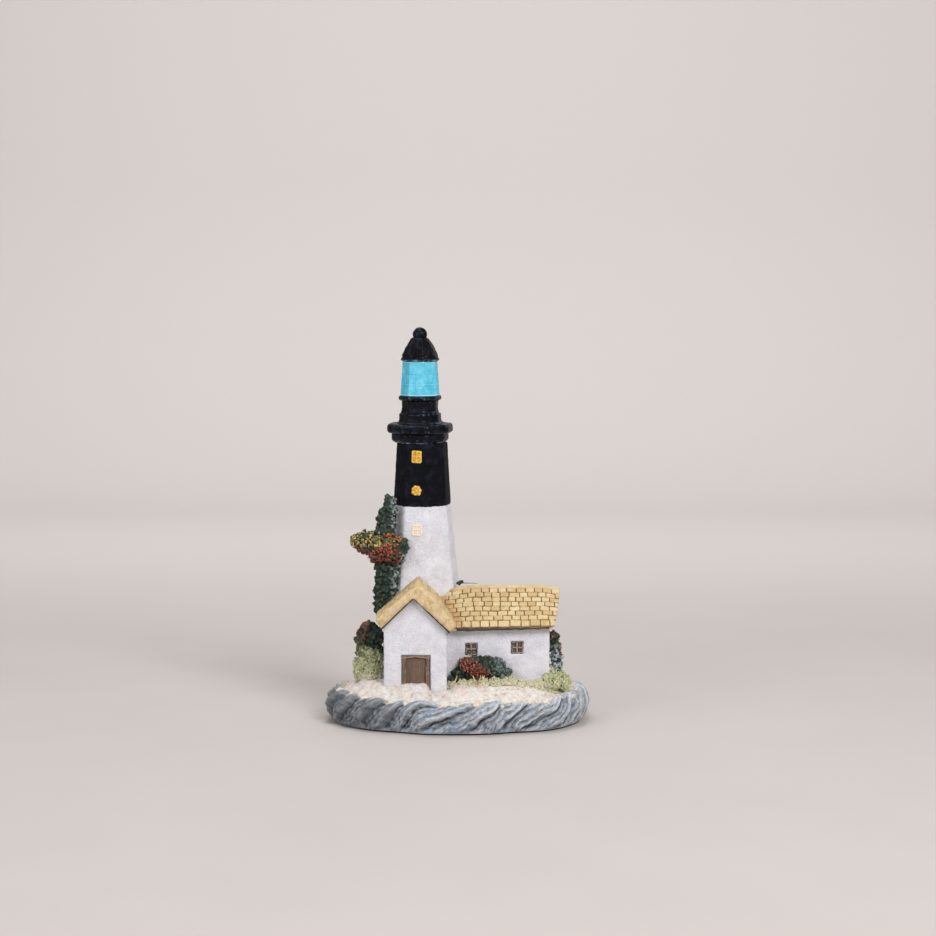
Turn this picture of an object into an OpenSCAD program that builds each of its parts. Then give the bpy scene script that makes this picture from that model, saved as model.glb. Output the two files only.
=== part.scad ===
// Lighthouse and cottage ornament, cast and painted by element.
// Row frame: millimetres, +Z up, the cottage front faces -Y, origin at the centre of the footprint
// on the surface that the ornament stands on.

/* [Base] */
// Width of the rock base along X
base_w = 78; // [70:1:86]
// Depth of the rock base along Y
base_d = 56; // [52:1:62]
// Thickness of the felt pad under the base
felt_t = 0.8; // [0.5:0.1:1.5]
// Height of the level ground that the buildings stand on
ground_z = 11; // [9:0.1:12]

/* [Tower] */
// Tower axis along X
tower_x = -11; // [-13:0.5:-9]
// Tower axis along Y
tower_y = 6; // [4:0.5:8]
// Turn of the octagon about its axis, in degrees
tower_turn = 11; // [0:1:20]
// Corner radius of the octagon at the ground
tower_foot_r = 12.3; // [11.5:0.1:12.8]
// Corner radius at the joint between the white and the black shaft
tower_band_r = 8.55; // [8:0.05:9]
// Corner radius under the corbel
tower_neck_r = 7.55; // [7:0.05:8]
// Height of the joint between the white and the black shaft
band_z = 62.8; // [58:0.1:66]
// Height of the top of the black shaft
neck_z = 81.1; // [78:0.1:83]

/* [Lantern] */
// Corner radius of the lantern at its sill
lantern_r = 5.85; // [5:0.05:6.1]
// Height of the lantern sill
lantern_z = 95; // [94:0.1:97]
// Height of the lantern
lantern_h = 10; // [8:0.5:10]
// Radius of the dome rim
dome_rim_r = 5.7; // [5.4:0.05:6.2]
// Radius of the ball finial
ball_r = 2.1; // [1.6:0.05:2.2]

/* [Cottage] */
// Front face of the gable room along Y
gable_y = -16; // [-17:0.5:-15]
// Left wall of the gable room along X
gable_x0 = -21.4; // [-22:0.1:-20]
// Right wall of the gable room along X
gable_x1 = -3.2; // [-4:0.1:-2.5]
// Front wall of the long wing along Y
wing_y0 = -10.5; // [-11:0.5:-9]
// Back wall of the long wing along Y
wing_y1 = 9.5; // [8:0.5:11]
// End wall of the long wing along X
wing_x1 = 26.6; // [24:0.1:28]
// Number of shingle courses on each slope
courses = 8; // [6:1:10]
// Width of one shingle
tile_w = 2.85; // [2:0.05:4]

/* [Hidden] */

$fn = 48;
touch = 0.02;            // gap left where a leaf mass lies on a wall
peg_gap = 0.05;          // radial clearance of a glued peg in its socket
peg_end = 0.3;           // glue space past the end of a peg
outline_step = 5;        // degrees between points of a ground outline
outline_power = 2.5;     // how square the base outline is
oct_flat = cos(22.5);    // flat radius of an octagon over its corner radius

// ---- base ----
rock_foot_z = felt_t;
pocket_z = 5;
pocket_scale = 0.855;
plateau_a = 30;
plateau_b = 20.5;
plateau_power = 3;

function super_r(a, half_x, half_y, power) =
    1 / pow(pow(abs(cos(a)) / half_x, power) + pow(abs(sin(a)) / half_y, power), 1 / power);

// Rock rim in plan: a rounded oblong with shallow bays that vanish on both axes.
function rim_r(a) =
    super_r(a, base_w / 2, base_d / 2, outline_power)
    * (1 - (1 - cos(4 * a)) * (0.011 * (1 + sin(5 * a + 40)) + 0.006 * (1 + sin(11 * a))));

// Height of the rock crest round the rim: highest at both ends, lowest behind.
function crest_z(a) =
    9 + 0.9 * pow(abs(cos(a)), 1.5) - 0.6 * max(0, sin(a)) + 0.35 * sin(9 * a + 20);

function angles() = [for (a = [0:outline_step:360 - outline_step]) a];

function rim_ring(s, z) = [for (a = angles()) [s * rim_r(a) * cos(a), s * rim_r(a) * sin(a), z]];

function crest_ring(s, drop) =
    [for (a = angles()) [s * rim_r(a) * cos(a), s * rim_r(a) * sin(a), crest_z(a) - drop]];

function plateau_ring(z) = [
    for (a = angles())
        let (r = super_r(a, plateau_a, plateau_b, plateau_power)) [r * cos(a), r * sin(a), z]
];

// Closed skin through rings of equal length, with flat ends.
module loft(rings) {
    n = len(rings[0]);
    count = len(rings);
    points = [for (ring = rings) each ring];
    sides = [
        for (k = [0:count - 2]) for (i = [0:n - 1])
            let (j = (i + 1) % n)
            each [
                [k * n + i, (k + 1) * n + i, k * n + j],
                [k * n + j, (k + 1) * n + i, (k + 1) * n + j]
            ]
    ];
    bottom = [[for (i = [0:n - 1]) i]];
    top = [[for (i = [n - 1:-1:0]) (count - 1) * n + i]];
    polyhedron(points = points, faces = concat(bottom, sides, top), convexity = 6);
}

// Extrudes an X-Z outline from y0 to y1.
module prism_y(outline, y0, y1) {
    translate([0, y1, 0]) rotate([90, 0, 0]) linear_extrude(height = y1 - y0) polygon(outline);
}

// Extrudes a Y-Z outline from x0 to x1.
module prism_x(outline, x0, x1) {
    translate([x0, 0, 0]) rotate([90, 0, 90]) linear_extrude(height = x1 - x0) polygon(outline);
}

module box(low, high) {
    translate(low) cube(high - low);
}

// ---- tower ----
shoulder_z = 37;         // where the flared foot meets the straight taper
shoulder_r = 11.35;
waist_z = 46;
waist_r = 10.2;
corbel_z = neck_z;
corbel_h = 2.7;
corbel_r = 8.5;
gallery_z = corbel_z + corbel_h;
gallery_h = 3;
gallery_r = 9.8;
gallery_edge = 0.5;      // chamfer round the gallery
watch_z = gallery_z + gallery_h;
watch_h = 3.1;
watch_r = 6.35;
service_z = watch_z + watch_h;
service_h = 3.5;
service_r = 5.55;
sill_z = service_z + service_h;
sill_h = lantern_z - sill_z;
sill_r = 6.45;
lantern_top_r = 5.15;
bar_t = 0.3;             // depth of the lantern's raised bars
bar_w = 0.75;            // width of the lantern's raised bars
pane_rows = 3;
dome_z = lantern_z + lantern_h;
dome_skirt = 1.4;        // height of the flared rim
dome_r = 5.15;
dome_h = 5.3;
ball_z = 115 - ball_r;
neck_r = 1.6;
small_peg_r = 0.8;
mid_peg_r = 2;
big_peg_r = 3.5;
foot_peg_r = 4;
small_peg_l = 1.6;
mid_peg_l = 1.4;
big_peg_l = 4;

module at_tower(z) {
    translate([tower_x, tower_y, z]) rotate(tower_turn) children();
}

module octagon_prism(z, h, r1, r2) {
    at_tower(z) cylinder(h = h, r1 = r1, r2 = r2, $fn = 8);
}

// Round peg that reaches down from z, rooted a little way into the piece above.
module peg(z, r, l) {
    at_tower(z - l) cylinder(h = l + 0.3, r = r);
}

// Socket that takes a peg of the same size from above.
module socket(z, r, l) {
    at_tower(z - l - peg_end) cylinder(h = l + peg_end + 1, r = r + peg_gap);
}

module lower_shaft_mass(grow = 0) {
    at_tower(0) rotate_extrude($fn = 8) polygon([
        [0, ground_z], [tower_foot_r + grow, ground_z], [shoulder_r + grow, shoulder_z],
        [waist_r + grow, waist_z], [tower_band_r + grow, band_z], [0, band_z]
    ]);
}

module upper_shaft_mass(grow = 0) {
    octagon_prism(band_z, neck_z - band_z, tower_band_r + grow, tower_neck_r + grow);
}

// Corner radius of the octagon at a height on the two upper tapers.
function shaft_r(z) =
    z > band_z
    ? tower_band_r + (tower_neck_r - tower_band_r) * (z - band_z) / (neck_z - band_z)
    : waist_r + (tower_band_r - waist_r) * (z - waist_z) / (band_z - waist_z);

// ---- tower windows, on the facet that faces the front ----
window_w = 3.2;
window_h = 3.7;
window_depth = 0.8;
window_bar = 0.55;
front_facet = 225 + 22.5;
window_top_z = 77.4;
window_middle_z = 67.6;
window_bottom_z = 55.9;

// Draws its children with X to the right, Z up and +Y into the wall, on the front facet at height z.
module on_front_facet(z) {
    at_tower(0) rotate(front_facet + 90) translate([0, -shaft_r(z) * oct_flat, z]) children();
}

module window_recess(w, h) {
    translate([-w / 2, -1, -h / 2]) cube([w, 1 + window_depth, h]);
}

// Sash with one upright and one cross bar, in front of a plain pane.
module sash(w, h, proud) {
    pane_w = (w - 3 * window_bar) / 2;
    pane_h = (h - 3 * window_bar) / 2;
    difference() {
        translate([-w / 2, -proud, -h / 2]) cube([w, window_depth + proud, h]);
        for (col = [0, 1]) for (row = [0, 1])
            translate([
                -w / 2 + window_bar + col * (pane_w + window_bar), -1,
                -h / 2 + window_bar + row * (pane_h + window_bar)
            ]) cube([pane_w, 1 + window_depth / 2, pane_h]);
    }
}

// ---- cottage ----
roof_apex = [-11.7, 42.4];
roof_inner_apex = [-12.8, 38.2];
roof_left_outer = [-23.7, 32.1];
roof_left_inner = [-22.1, 29.3];
roof_right_kink = [-6.5, 37.9];
roof_right_outer = [-0.5, 29.7];
roof_right_inner = [-2.3, 28.2];
gable_roof_y = -18.2;
gable_back_y = 3;
rake_trim_t = 0.6;
door_x0 = -16.3;
door_x1 = -8;
door_top = 21.2;
door_depth = 1.4;
bank_h = 2;              // height of the sand banked up left of the door
jamb_w = 1.25;
plank_count = 5;
step_h = 2.1;

wing_eave_y = -12.3;
wing_ridge_y = -0.5;
wing_ridge_z = 38.9;
wing_eave_z = 28.6;
deck_t = 0.9;            // roof deck thickness, measured upright
wing_roof_x0 = -9;
wing_roof_x1 = 29.4;
slope_run = wing_ridge_y - wing_eave_y;
slope_rise = wing_ridge_z - wing_eave_z;
slope_deg = atan(slope_rise / slope_run);
slope_len = sqrt(slope_run * slope_run + slope_rise * slope_rise);
tile_t = 0.5;
tile_gap = 0.22;
course_len = slope_len / courses;
wing_window_w = 3.6;
wing_window_h = 3.6;
wing_window_x = [3.85, 17.2];
wing_window_z = [22, 22.5];

// Height on the line from a to b at x.
function on_line(a, b, x) = a[1] + (b[1] - a[1]) * (x - a[0]) / (b[0] - a[0]);

gable_eave_left = on_line(roof_left_inner, roof_inner_apex, gable_x0);
gable_eave_right = on_line(roof_inner_apex, roof_right_inner, gable_x1);

// Outline of the gable wall under its roof.
gable_outline = [
    [gable_x0, ground_z], [gable_x1, ground_z], [gable_x1, gable_eave_right],
    roof_inner_apex, [gable_x0, gable_eave_left]
];

gable_roof_outline = [
    roof_left_inner, roof_inner_apex, roof_right_inner, roof_right_outer,
    roof_right_kink, roof_apex, roof_left_outer
];

// Underside of the wing roof at y.
function deck_under(y) =
    wing_ridge_z - deck_t - abs(y - wing_ridge_y) * slope_rise / slope_run;

wing_outline = [
    [wing_y0, ground_z], [wing_y1, ground_z], [wing_y1, deck_under(wing_y1)],
    [wing_ridge_y, wing_ridge_z - deck_t], [wing_y0, deck_under(wing_y0)]
];

wing_back_eave_y = 2 * wing_ridge_y - wing_eave_y;

deck_outline = [
    [wing_eave_y, wing_eave_z - deck_t], [wing_ridge_y, wing_ridge_z - deck_t],
    [wing_back_eave_y, wing_eave_z - deck_t], [wing_back_eave_y, wing_eave_z],
    [wing_ridge_y, wing_ridge_z], [wing_eave_y, wing_eave_z]
];

module gable_mass() {
    prism_y(gable_outline, gable_y, gable_back_y);
}

module gable_roof_mass() {
    prism_y(gable_roof_outline, gable_roof_y, gable_back_y);
}

module wing_mass() {
    prism_x(wing_outline, gable_x1, wing_x1);
}

module deck_mass() {
    prism_x(deck_outline, wing_roof_x0, wing_roof_x1);
}

// The roof deck with its shingles, as one simple outline.
module roof_envelope() {
    prism_x([
        deck_outline[0], deck_outline[1], deck_outline[2],
        deck_outline[3] + [0, 1], deck_outline[4] + [0, 1], deck_outline[5] + [0, 1]
    ], gable_x1, wing_roof_x1);
}

// Sand banked up against the gable wall, left of the door.
module sand_bank() {
    intersection() {
        translate([gable_x0 + 2, gable_y, ground_z]) scale([4.6, 3.2, bank_h]) sphere(r = 1, $fn = 32);
        box([gable_x0 - 5, gable_y - 5, ground_z - 2], [door_x0 - 0.4, gable_y, ground_z + bank_h]);
    }
}

// Everything above the ground that leaves may not enter.
module buildings() {
    lower_shaft_mass(touch);
    upper_shaft_mass(touch);
    gable_mass();
    gable_roof_mass();
    wing_mass();
    roof_envelope();
}

// ---- planting: each mass is a union of balls, [x, y, z, r] ----
vine_foot_balls = [
    [-21.4, -3, 33.4, 3.3], [-21.3, -2.4, 37.4, 3.6], [-21.2, -2, 41.4, 3.9], [-20.8, -1.6, 44.8, 3.9]
];
vine_bloom_balls = [
    [-19.6, -3.4, 50.4, 4.9], [-24.4, -2, 51.6, 4.6], [-28.6, -1.6, 52.4, 3.3], [-21.6, -2, 54.4, 3.6]
];
vine_top_balls = [[-20.6, -0.8, 58.4, 3.6], [-19.9, -0.2, 62, 3.1], [-19.9, 0.6, 65, 1.7]];
front_bush_balls = [
    [-0.8, -12.2, 14.2, 2.2], [2.6, -12.6, 17, 3.1], [5.6, -13, 15.4, 3.2], [8.8, -12.6, 17.6, 3.6],
    [12.4, -12.4, 15.2, 2.7]
];
left_shrub_balls = [
    [-25, -1, 25.6, 3.6], [-27.4, -1.4, 22.6, 3.1], [-23.8, -3, 21, 3.4], [-24.6, -3.4, 17.6, 3.4]
];
right_creeper_balls = [[28, -7.2, 24.8, 2.3], [28.3, -7.6, 20.8, 2.3], [28.6, -8, 17, 2.4]];
left_grass_balls = [[-27.4, -6, 12.4, 5.2], [-24.8, -5.4, 14.2, 4.2]];
front_grass_balls = [
    [0.5, -13.4, 9.6, 4], [7, -13.8, 9.4, 4.6], [13.6, -13.2, 9.8, 4.4], [19.6, -12.4, 9.4, 4.2]
];
right_grass_balls = [[26.4, -11, 10.4, 4], [29.2, -8.4, 10.8, 4]];
sprig_balls = [[1.4, 0.3, 40, 1.1], [3, 0.2, 40, 0.9], [4.6, 0.3, 39.9, 0.9]];

module balls(list, grow = 0) {
    for (b = list) translate([b[0], b[1], b[2]]) sphere(r = b[3] + grow);
}

// Flower buds, each a small ball half sunk in the leaves: [x, y, z].
bud_r = 0.75;
vine_buds = [
    [-29, -4.9, 52], [-27.4, -5.9, 54.6], [-25.2, -6.6, 50.4], [-23, -6.5, 53.6], [-21.3, -8.2, 51.8],
    [-19.6, -8.4, 49.2], [-17.4, -7.8, 52]
];
bush_buds = [
    [1, -15.5, 17.6], [3, -15.7, 18], [4.8, -16.1, 16.4], [6.4, -16.2, 15.6], [8.6, -16.3, 17.6]
];
creeper_buds = [[29.8, -8.8, 25.4], [30.1, -9.1, 21.8]];

module buds(list) {
    for (b = list) translate(b) sphere(r = bud_r, $fn = 24);
}

// ---- sub-parts ----
module felt_pad() {
    color("darkolivegreen") loft([rim_ring(0.92, 0), rim_ring(0.92, felt_t)]);
}

module rock_base() {
    color("slategray") loft([
        rim_ring(0.95, rock_foot_z), rim_ring(0.975, 2.6), rim_ring(1, 5.6), rim_ring(0.985, 7.2),
        crest_ring(0.95, 0.7), crest_ring(0.905, 0), crest_ring(pocket_scale, 0.5),
        rim_ring(pocket_scale - 0.005, pocket_z)
    ]);
}

module sand_ground() {
    color("antiquewhite") difference() {
        union() {
            loft([
                rim_ring(pocket_scale - 0.02, pocket_z), crest_ring(pocket_scale - 0.012, 1),
                plateau_ring(ground_z)
            ]);
            sand_bank();
        }
        gable_mass();
        socket(ground_z, foot_peg_r, big_peg_l);
    }
}

module tower_lower_shaft() {
    color("whitesmoke") {
        difference() {
            lower_shaft_mass();
            on_front_facet(window_bottom_z) window_recess(window_w, window_h);
            socket(band_z, big_peg_r, big_peg_l);
        }
        peg(ground_z, foot_peg_r, big_peg_l);
    }
}

module tower_upper_shaft() {
    color("midnightblue") {
        difference() {
            upper_shaft_mass();
            on_front_facet(window_top_z) window_recess(window_w, window_h);
            on_front_facet(window_middle_z) window_recess(window_w, window_h);
            socket(neck_z, mid_peg_r, mid_peg_l);
        }
        peg(band_z, big_peg_r, big_peg_l);
    }
}

module tower_corbel() {
    color("midnightblue") {
        difference() {
            octagon_prism(corbel_z, corbel_h, corbel_r, corbel_r);
            socket(corbel_z + corbel_h, mid_peg_r, mid_peg_l);
        }
        peg(corbel_z, mid_peg_r, mid_peg_l);
    }
}

module gallery_deck() {
    color("midnightblue") {
        difference() {
            union() {
                octagon_prism(gallery_z, gallery_edge, gallery_r - gallery_edge, gallery_r);
                octagon_prism(gallery_z + gallery_edge, gallery_h - gallery_edge, gallery_r, gallery_r);
            }
            socket(gallery_z + gallery_h, mid_peg_r, mid_peg_l);
        }
        peg(gallery_z, mid_peg_r, mid_peg_l);
    }
}

module watch_room() {
    color("midnightblue") {
        difference() {
            octagon_prism(watch_z, watch_h, watch_r, watch_r);
            socket(watch_z + watch_h, mid_peg_r, mid_peg_l);
        }
        peg(watch_z, mid_peg_r, mid_peg_l);
    }
}

module service_room() {
    color("midnightblue") {
        difference() {
            octagon_prism(service_z, service_h, service_r, service_r);
            socket(service_z + service_h, mid_peg_r, mid_peg_l);
        }
        peg(service_z, mid_peg_r, mid_peg_l);
    }
}

module lantern_sill() {
    color("midnightblue") {
        difference() {
            union() {
                octagon_prism(sill_z, sill_h / 2, service_r, sill_r);
                octagon_prism(sill_z + sill_h / 2, sill_h / 2, sill_r, sill_r);
            }
            socket(lantern_z, mid_peg_r, 1);
        }
        peg(sill_z, mid_peg_r, mid_peg_l);
    }
}

module lantern_core() {
    color("deepskyblue") {
        difference() {
            octagon_prism(lantern_z, lantern_h, lantern_r - bar_t, lantern_top_r - bar_t);
            socket(dome_z, mid_peg_r, mid_peg_l);
        }
        peg(lantern_z, mid_peg_r, 1);
    }
}

// Raised glazing bars: one skin with a window cut for each pane of each facet.
module lantern_bars() {
    pane_h = (lantern_h - (pane_rows + 1) * bar_w) / pane_rows;
    color("skyblue") difference() {
        octagon_prism(lantern_z, lantern_h, lantern_r, lantern_top_r);
        octagon_prism(lantern_z, lantern_h, lantern_r - bar_t, lantern_top_r - bar_t);
        for (facet = [0:7]) for (row = [0:pane_rows - 1])
            at_tower(lantern_z + bar_w + row * (pane_h + bar_w)) rotate(22.5 + 45 * facet)
                let (r = lantern_r + (lantern_top_r - lantern_r) * (row + 0.5) / pane_rows)
                    let (w = 2 * r * sin(22.5) - 2 * bar_w)
                        translate([r * oct_flat - 1, -w / 2, 0]) cube([2, w, pane_h]);
    }
}

// Radius of the dome at height h above its skirt.
function dome_curve(h) = dome_r - 0.25 * h - 0.035 * h * h;

module lantern_dome() {
    dome_steps = 8;
    curve = [for (k = [0:dome_steps]) let (h = dome_h * k / dome_steps) [dome_curve(h), dome_skirt + h]];
    color("black") difference() {
        union() {
            at_tower(dome_z) rotate_extrude() polygon(concat(
                [[0, 0], [lantern_top_r, 0], [dome_rim_r, 0.5], [dome_rim_r - 0.2, 0.95]],
                curve, [[0, dome_skirt + dome_h]]
            ));
            peg(dome_z, mid_peg_r, mid_peg_l);
        }
        socket(dome_z + dome_skirt + dome_h, small_peg_r, small_peg_l);
    }
}

module ball_finial() {
    foot = dome_z + dome_skirt + dome_h;
    color("black") {
        at_tower(foot) cylinder(h = ball_z - foot, r = neck_r);
        at_tower(ball_z) intersection() {
            sphere(r = ball_r);
            translate([-ball_r, -ball_r, foot - ball_z]) cube([2 * ball_r, 2 * ball_r, 3 * ball_r]);
        }
        peg(foot, small_peg_r, small_peg_l);
    }
}

module tower_window(z) {
    color("goldenrod") on_front_facet(z) sash(window_w, window_h, 0.1);
}

module gable_walls() {
    color("whitesmoke") difference() {
        gable_mass();
        lower_shaft_mass(touch);
        box([door_x0, gable_y - 1, ground_z - 1], [door_x1, gable_y + door_depth, door_top]);
    }
}

module gable_roof() {
    color("burlywood") difference() {
        gable_roof_mass();
        lower_shaft_mass(touch);
    }
}

// Dark strip under the front edge of the gable roof.
module gable_rake_trim() {
    outline = [
        roof_left_inner, roof_inner_apex, roof_right_inner,
        roof_right_inner - [0, 0.7], roof_inner_apex - [0, 0.9], roof_left_inner - [0, 0.7]
    ];
    color("saddlebrown") prism_y(outline, gable_y - rake_trim_t, gable_y);
}

module door_frame() {
    y0 = gable_y - 0.2;
    y1 = gable_y + door_depth;
    color("peru") {
        box([door_x0, y0, ground_z], [door_x0 + jamb_w, y1, door_top]);
        box([door_x1 - jamb_w, y0, ground_z], [door_x1, y1, door_top]);
        box([door_x0 + jamb_w, y0, door_top - 0.9], [door_x1 - jamb_w, y1, door_top]);
    }
}

module door_leaf() {
    x0 = door_x0 + jamb_w;
    plank = (door_x1 - door_x0 - 2 * jamb_w) / plank_count;
    z0 = ground_z + step_h;
    z1 = door_top - 0.9;
    color("sienna") {
        box([x0, gable_y + 1, z0], [x0 + plank_count * plank, gable_y + door_depth, z1]);
        for (k = [0:plank_count - 1])
            box([x0 + k * plank + 0.1, gable_y + 0.7, z0], [x0 + (k + 1) * plank - 0.1, gable_y + 1, z1]);
    }
}

module doorstep() {
    color("antiquewhite") {
        box(
            [door_x0 + jamb_w, gable_y - 0.4, ground_z],
            [door_x1 - jamb_w, gable_y + door_depth, ground_z + step_h]
        );
        box([door_x0 - 0.4, gable_y - 2, ground_z], [door_x1 + 0.4, gable_y - 0.2, ground_z + step_h / 2]);
    }
}

module wing_walls() {
    color("whitesmoke") difference() {
        wing_mass();
        lower_shaft_mass(touch);
        gable_roof_mass();
        for (k = [0, 1])
            translate([wing_window_x[k], wing_y0, wing_window_z[k]])
                window_recess(wing_window_w, wing_window_h);
    }
}

module wing_roof_deck() {
    color("tan") difference() {
        deck_mass();
        lower_shaft_mass(touch);
        gable_roof_mass();
        gable_mass();
    }
}

// Dark fascia in front of the deck, under the lowest shingles.
module wing_eave_trim() {
    color("saddlebrown") box(
        [roof_right_outer[0], wing_eave_y - 0.35, wing_eave_z - deck_t],
        [wing_x1, wing_eave_y, wing_eave_z - 0.05]
    );
}

// Left end of the shingles on the front slope at height z and depth y: the valley or the tower.
function valley_x(z) =
    roof_right_outer[0]
    + (roof_right_kink[0] - roof_right_outer[0])
    * min(1, (z - roof_right_outer[1]) / (roof_right_kink[1] - roof_right_outer[1]));

function tower_edge_x(y) =
    tower_x + sqrt(max(0, pow(tower_foot_r - 0.9, 2) - pow(y - tower_y, 2)));

function course_start(side, run) =
    side > 0
    ? tower_edge_x(wing_ridge_y + run) + 0.2
    : max(
        valley_x(wing_ridge_z - run * slope_rise / slope_run) + 1,
        tower_edge_x(wing_ridge_y - run) + 0.2
    );

// One slope of staggered shingles. side is -1 for the front and 1 for the back.
module shingles(side) {
    color("khaki") for (row = [0:courses - 1]) {
        along = slope_len - (row + 1) * course_len;
        run = (along + course_len / 2) * cos(slope_deg);
        start = course_start(side, run);
        full = wing_roof_x1 - start;
        count = floor(full / tile_w + 0.5);
        shift = (row % 2) * tile_w / 2;
        for (k = [0:count]) {
            x0 = max(start, start + k * tile_w - shift);
            x1 = min(wing_roof_x1, start + (k + 1) * tile_w - shift - tile_gap);
            if (x1 - x0 > 0.6)
                translate([0, wing_ridge_y, wing_ridge_z]) rotate([side * -slope_deg, 0, 0])
                    box(
                        [x0, side > 0 ? along + tile_gap + 0.3 : -along - course_len + 0.02, 0],
                        [x1, side > 0 ? along + course_len - 0.02 : -along - tile_gap - 0.3, tile_t]
                    );
        }
    }
}

// Saddle tiles over the ridge.
module ridge_tiles() {
    half = 0.9;
    drop = half * slope_rise / slope_run;
    start = tower_edge_x(wing_ridge_y) + 0.3;
    count = floor((wing_roof_x1 - start) / tile_w);
    tile = (wing_roof_x1 - start) / count;
    lift = 0.9;
    color("khaki") for (k = [0:count - 1])
        difference() {
            prism_x([
                [wing_ridge_y - half, wing_ridge_z - drop],
                [wing_ridge_y, wing_ridge_z],
                [wing_ridge_y + half, wing_ridge_z - drop],
                [wing_ridge_y + half, wing_ridge_z - drop + lift],
                [wing_ridge_y, wing_ridge_z + lift],
                [wing_ridge_y - half, wing_ridge_z - drop + lift]
            ], start + k * tile, start + (k + 1) * tile - tile_gap);
            for (side = [-1, 1])
                translate([0, wing_ridge_y, wing_ridge_z]) rotate([side * -slope_deg, 0, 0])
                    box([-30, side > 0 ? 0.5 : -1.6, -0.01], [60, side > 0 ? 1.6 : -0.5, tile_t + 0.02]);
        }
}

module wing_window(k) {
    color("rosybrown") translate([wing_window_x[k], wing_y0, wing_window_z[k]])
        sash(wing_window_w, wing_window_h, 0.1);
}

module climbing_vine_foot() {
    color("darkgreen") difference() {
        balls(vine_foot_balls);
        buildings();
        balls(vine_bloom_balls, touch);
    }
}

module climbing_vine_bloom() {
    color("darkolivegreen") difference() {
        balls(vine_bloom_balls);
        buildings();
        buds(vine_buds);
    }
}

module climbing_vine_top() {
    color("darkgreen") difference() {
        balls(vine_top_balls);
        buildings();
        balls(vine_bloom_balls, touch);
    }
}

module vine_flowers() {
    color("orangered") buds(vine_buds);
}

module front_bush() {
    color("darkgreen") difference() {
        balls(front_bush_balls);
        wing_mass();
        gable_mass();
        box([-20, -30, 0], [40, 20, ground_z]);
        balls(front_grass_balls, touch);
        buds(bush_buds);
    }
}

module front_bush_flowers() {
    color("orangered") buds(bush_buds);
}

module left_shrub() {
    color("darkgreen") difference() {
        balls(left_shrub_balls);
        buildings();
        balls(vine_foot_balls, touch);
        balls(left_grass_balls, touch);
        box([-50, -30, 0], [40, 20, ground_z]);
    }
}

module left_grass_mound() {
    color("yellowgreen") difference() {
        balls(left_grass_balls);
        buildings();
        box([-50, -30, 0], [40, 20, ground_z]);
    }
}

module front_grass() {
    color("yellowgreen") difference() {
        balls(front_grass_balls);
        wing_mass();
        gable_mass();
        box([-20, -30, 0], [40, 20, ground_z]);
    }
}

module right_grass_mound() {
    color("yellowgreen") difference() {
        balls(right_grass_balls);
        wing_mass();
        balls(front_grass_balls, touch);
        box([-20, -30, 0], [50, 20, ground_z]);
    }
}

module right_creeper() {
    color("darkgreen") difference() {
        balls(right_creeper_balls);
        wing_mass();
        deck_mass();
        balls(right_grass_balls, touch);
        buds(creeper_buds);
    }
}

module creeper_flowers() {
    color("orangered") buds(creeper_buds);
}

module ridge_sprig() {
    color("darkgreen") difference() {
        balls(sprig_balls);
        roof_envelope();
    }
}

felt_pad();
rock_base();
sand_ground();
tower_lower_shaft();
tower_upper_shaft();
tower_corbel();
gallery_deck();
watch_room();
service_room();
lantern_sill();
lantern_core();
lantern_bars();
lantern_dome();
ball_finial();
tower_window(window_top_z);  // tower_window_top
tower_window(window_middle_z);  // tower_window_middle
tower_window(window_bottom_z);  // tower_window_bottom
gable_walls();
gable_roof();
gable_rake_trim();
door_frame();
door_leaf();
doorstep();
wing_walls();
wing_roof_deck();
wing_eave_trim();
ridge_tiles();
shingles(-1);  // front_shingles
shingles(1);  // back_shingles
wing_window(0);  // wing_window_left
wing_window(1);  // wing_window_right
climbing_vine_foot();
climbing_vine_bloom();
climbing_vine_top();
vine_flowers();
front_bush();
front_bush_flowers();
left_shrub();
left_grass_mound();
front_grass();
right_grass_mound();
right_creeper();
creeper_flowers();
ridge_sprig();
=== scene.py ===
"""Detailed visual model of the lighthouse and cottage ornament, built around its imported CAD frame.

Everything is worked out in millimetres in the row frame (+Z up, cottage front towards -Y) and scaled
to metres when a piece is added to the scene.
"""
import math
import random

import bpy
import numpy as np
from mathutils import Matrix, Vector


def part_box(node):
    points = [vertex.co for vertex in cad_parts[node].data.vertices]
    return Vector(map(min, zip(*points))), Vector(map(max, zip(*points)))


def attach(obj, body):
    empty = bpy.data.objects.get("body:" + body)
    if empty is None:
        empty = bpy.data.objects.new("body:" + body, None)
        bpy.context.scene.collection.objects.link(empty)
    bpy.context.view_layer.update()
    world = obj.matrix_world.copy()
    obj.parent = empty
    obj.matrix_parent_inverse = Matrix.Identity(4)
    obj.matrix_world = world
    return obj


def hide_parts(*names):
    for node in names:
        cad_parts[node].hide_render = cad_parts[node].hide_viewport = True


MM = 0.001
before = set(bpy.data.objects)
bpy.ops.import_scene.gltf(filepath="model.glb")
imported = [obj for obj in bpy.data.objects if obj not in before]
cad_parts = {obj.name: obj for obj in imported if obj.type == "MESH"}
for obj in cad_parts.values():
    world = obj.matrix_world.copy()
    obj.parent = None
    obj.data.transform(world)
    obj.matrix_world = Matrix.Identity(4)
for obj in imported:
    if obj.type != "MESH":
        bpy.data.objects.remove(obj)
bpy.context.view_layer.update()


# ---------------------------------------------------------------- driving dimensions, from the frame
def box_mm(node):
    low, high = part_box(node)
    return Vector(low) / MM, Vector(high) / MM


def middle(node):
    low, high = box_mm(node)
    return (low + high) / 2


def span_z(node):
    low, high = box_mm(node)
    return low.z, high.z


TOWER = middle("gallery_deck")
TOWER_TURN = math.radians(11)
FRONT_FACET = TOWER_TURN + math.radians(247.5)
OCT_FLAT = math.cos(math.pi / 8)

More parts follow.
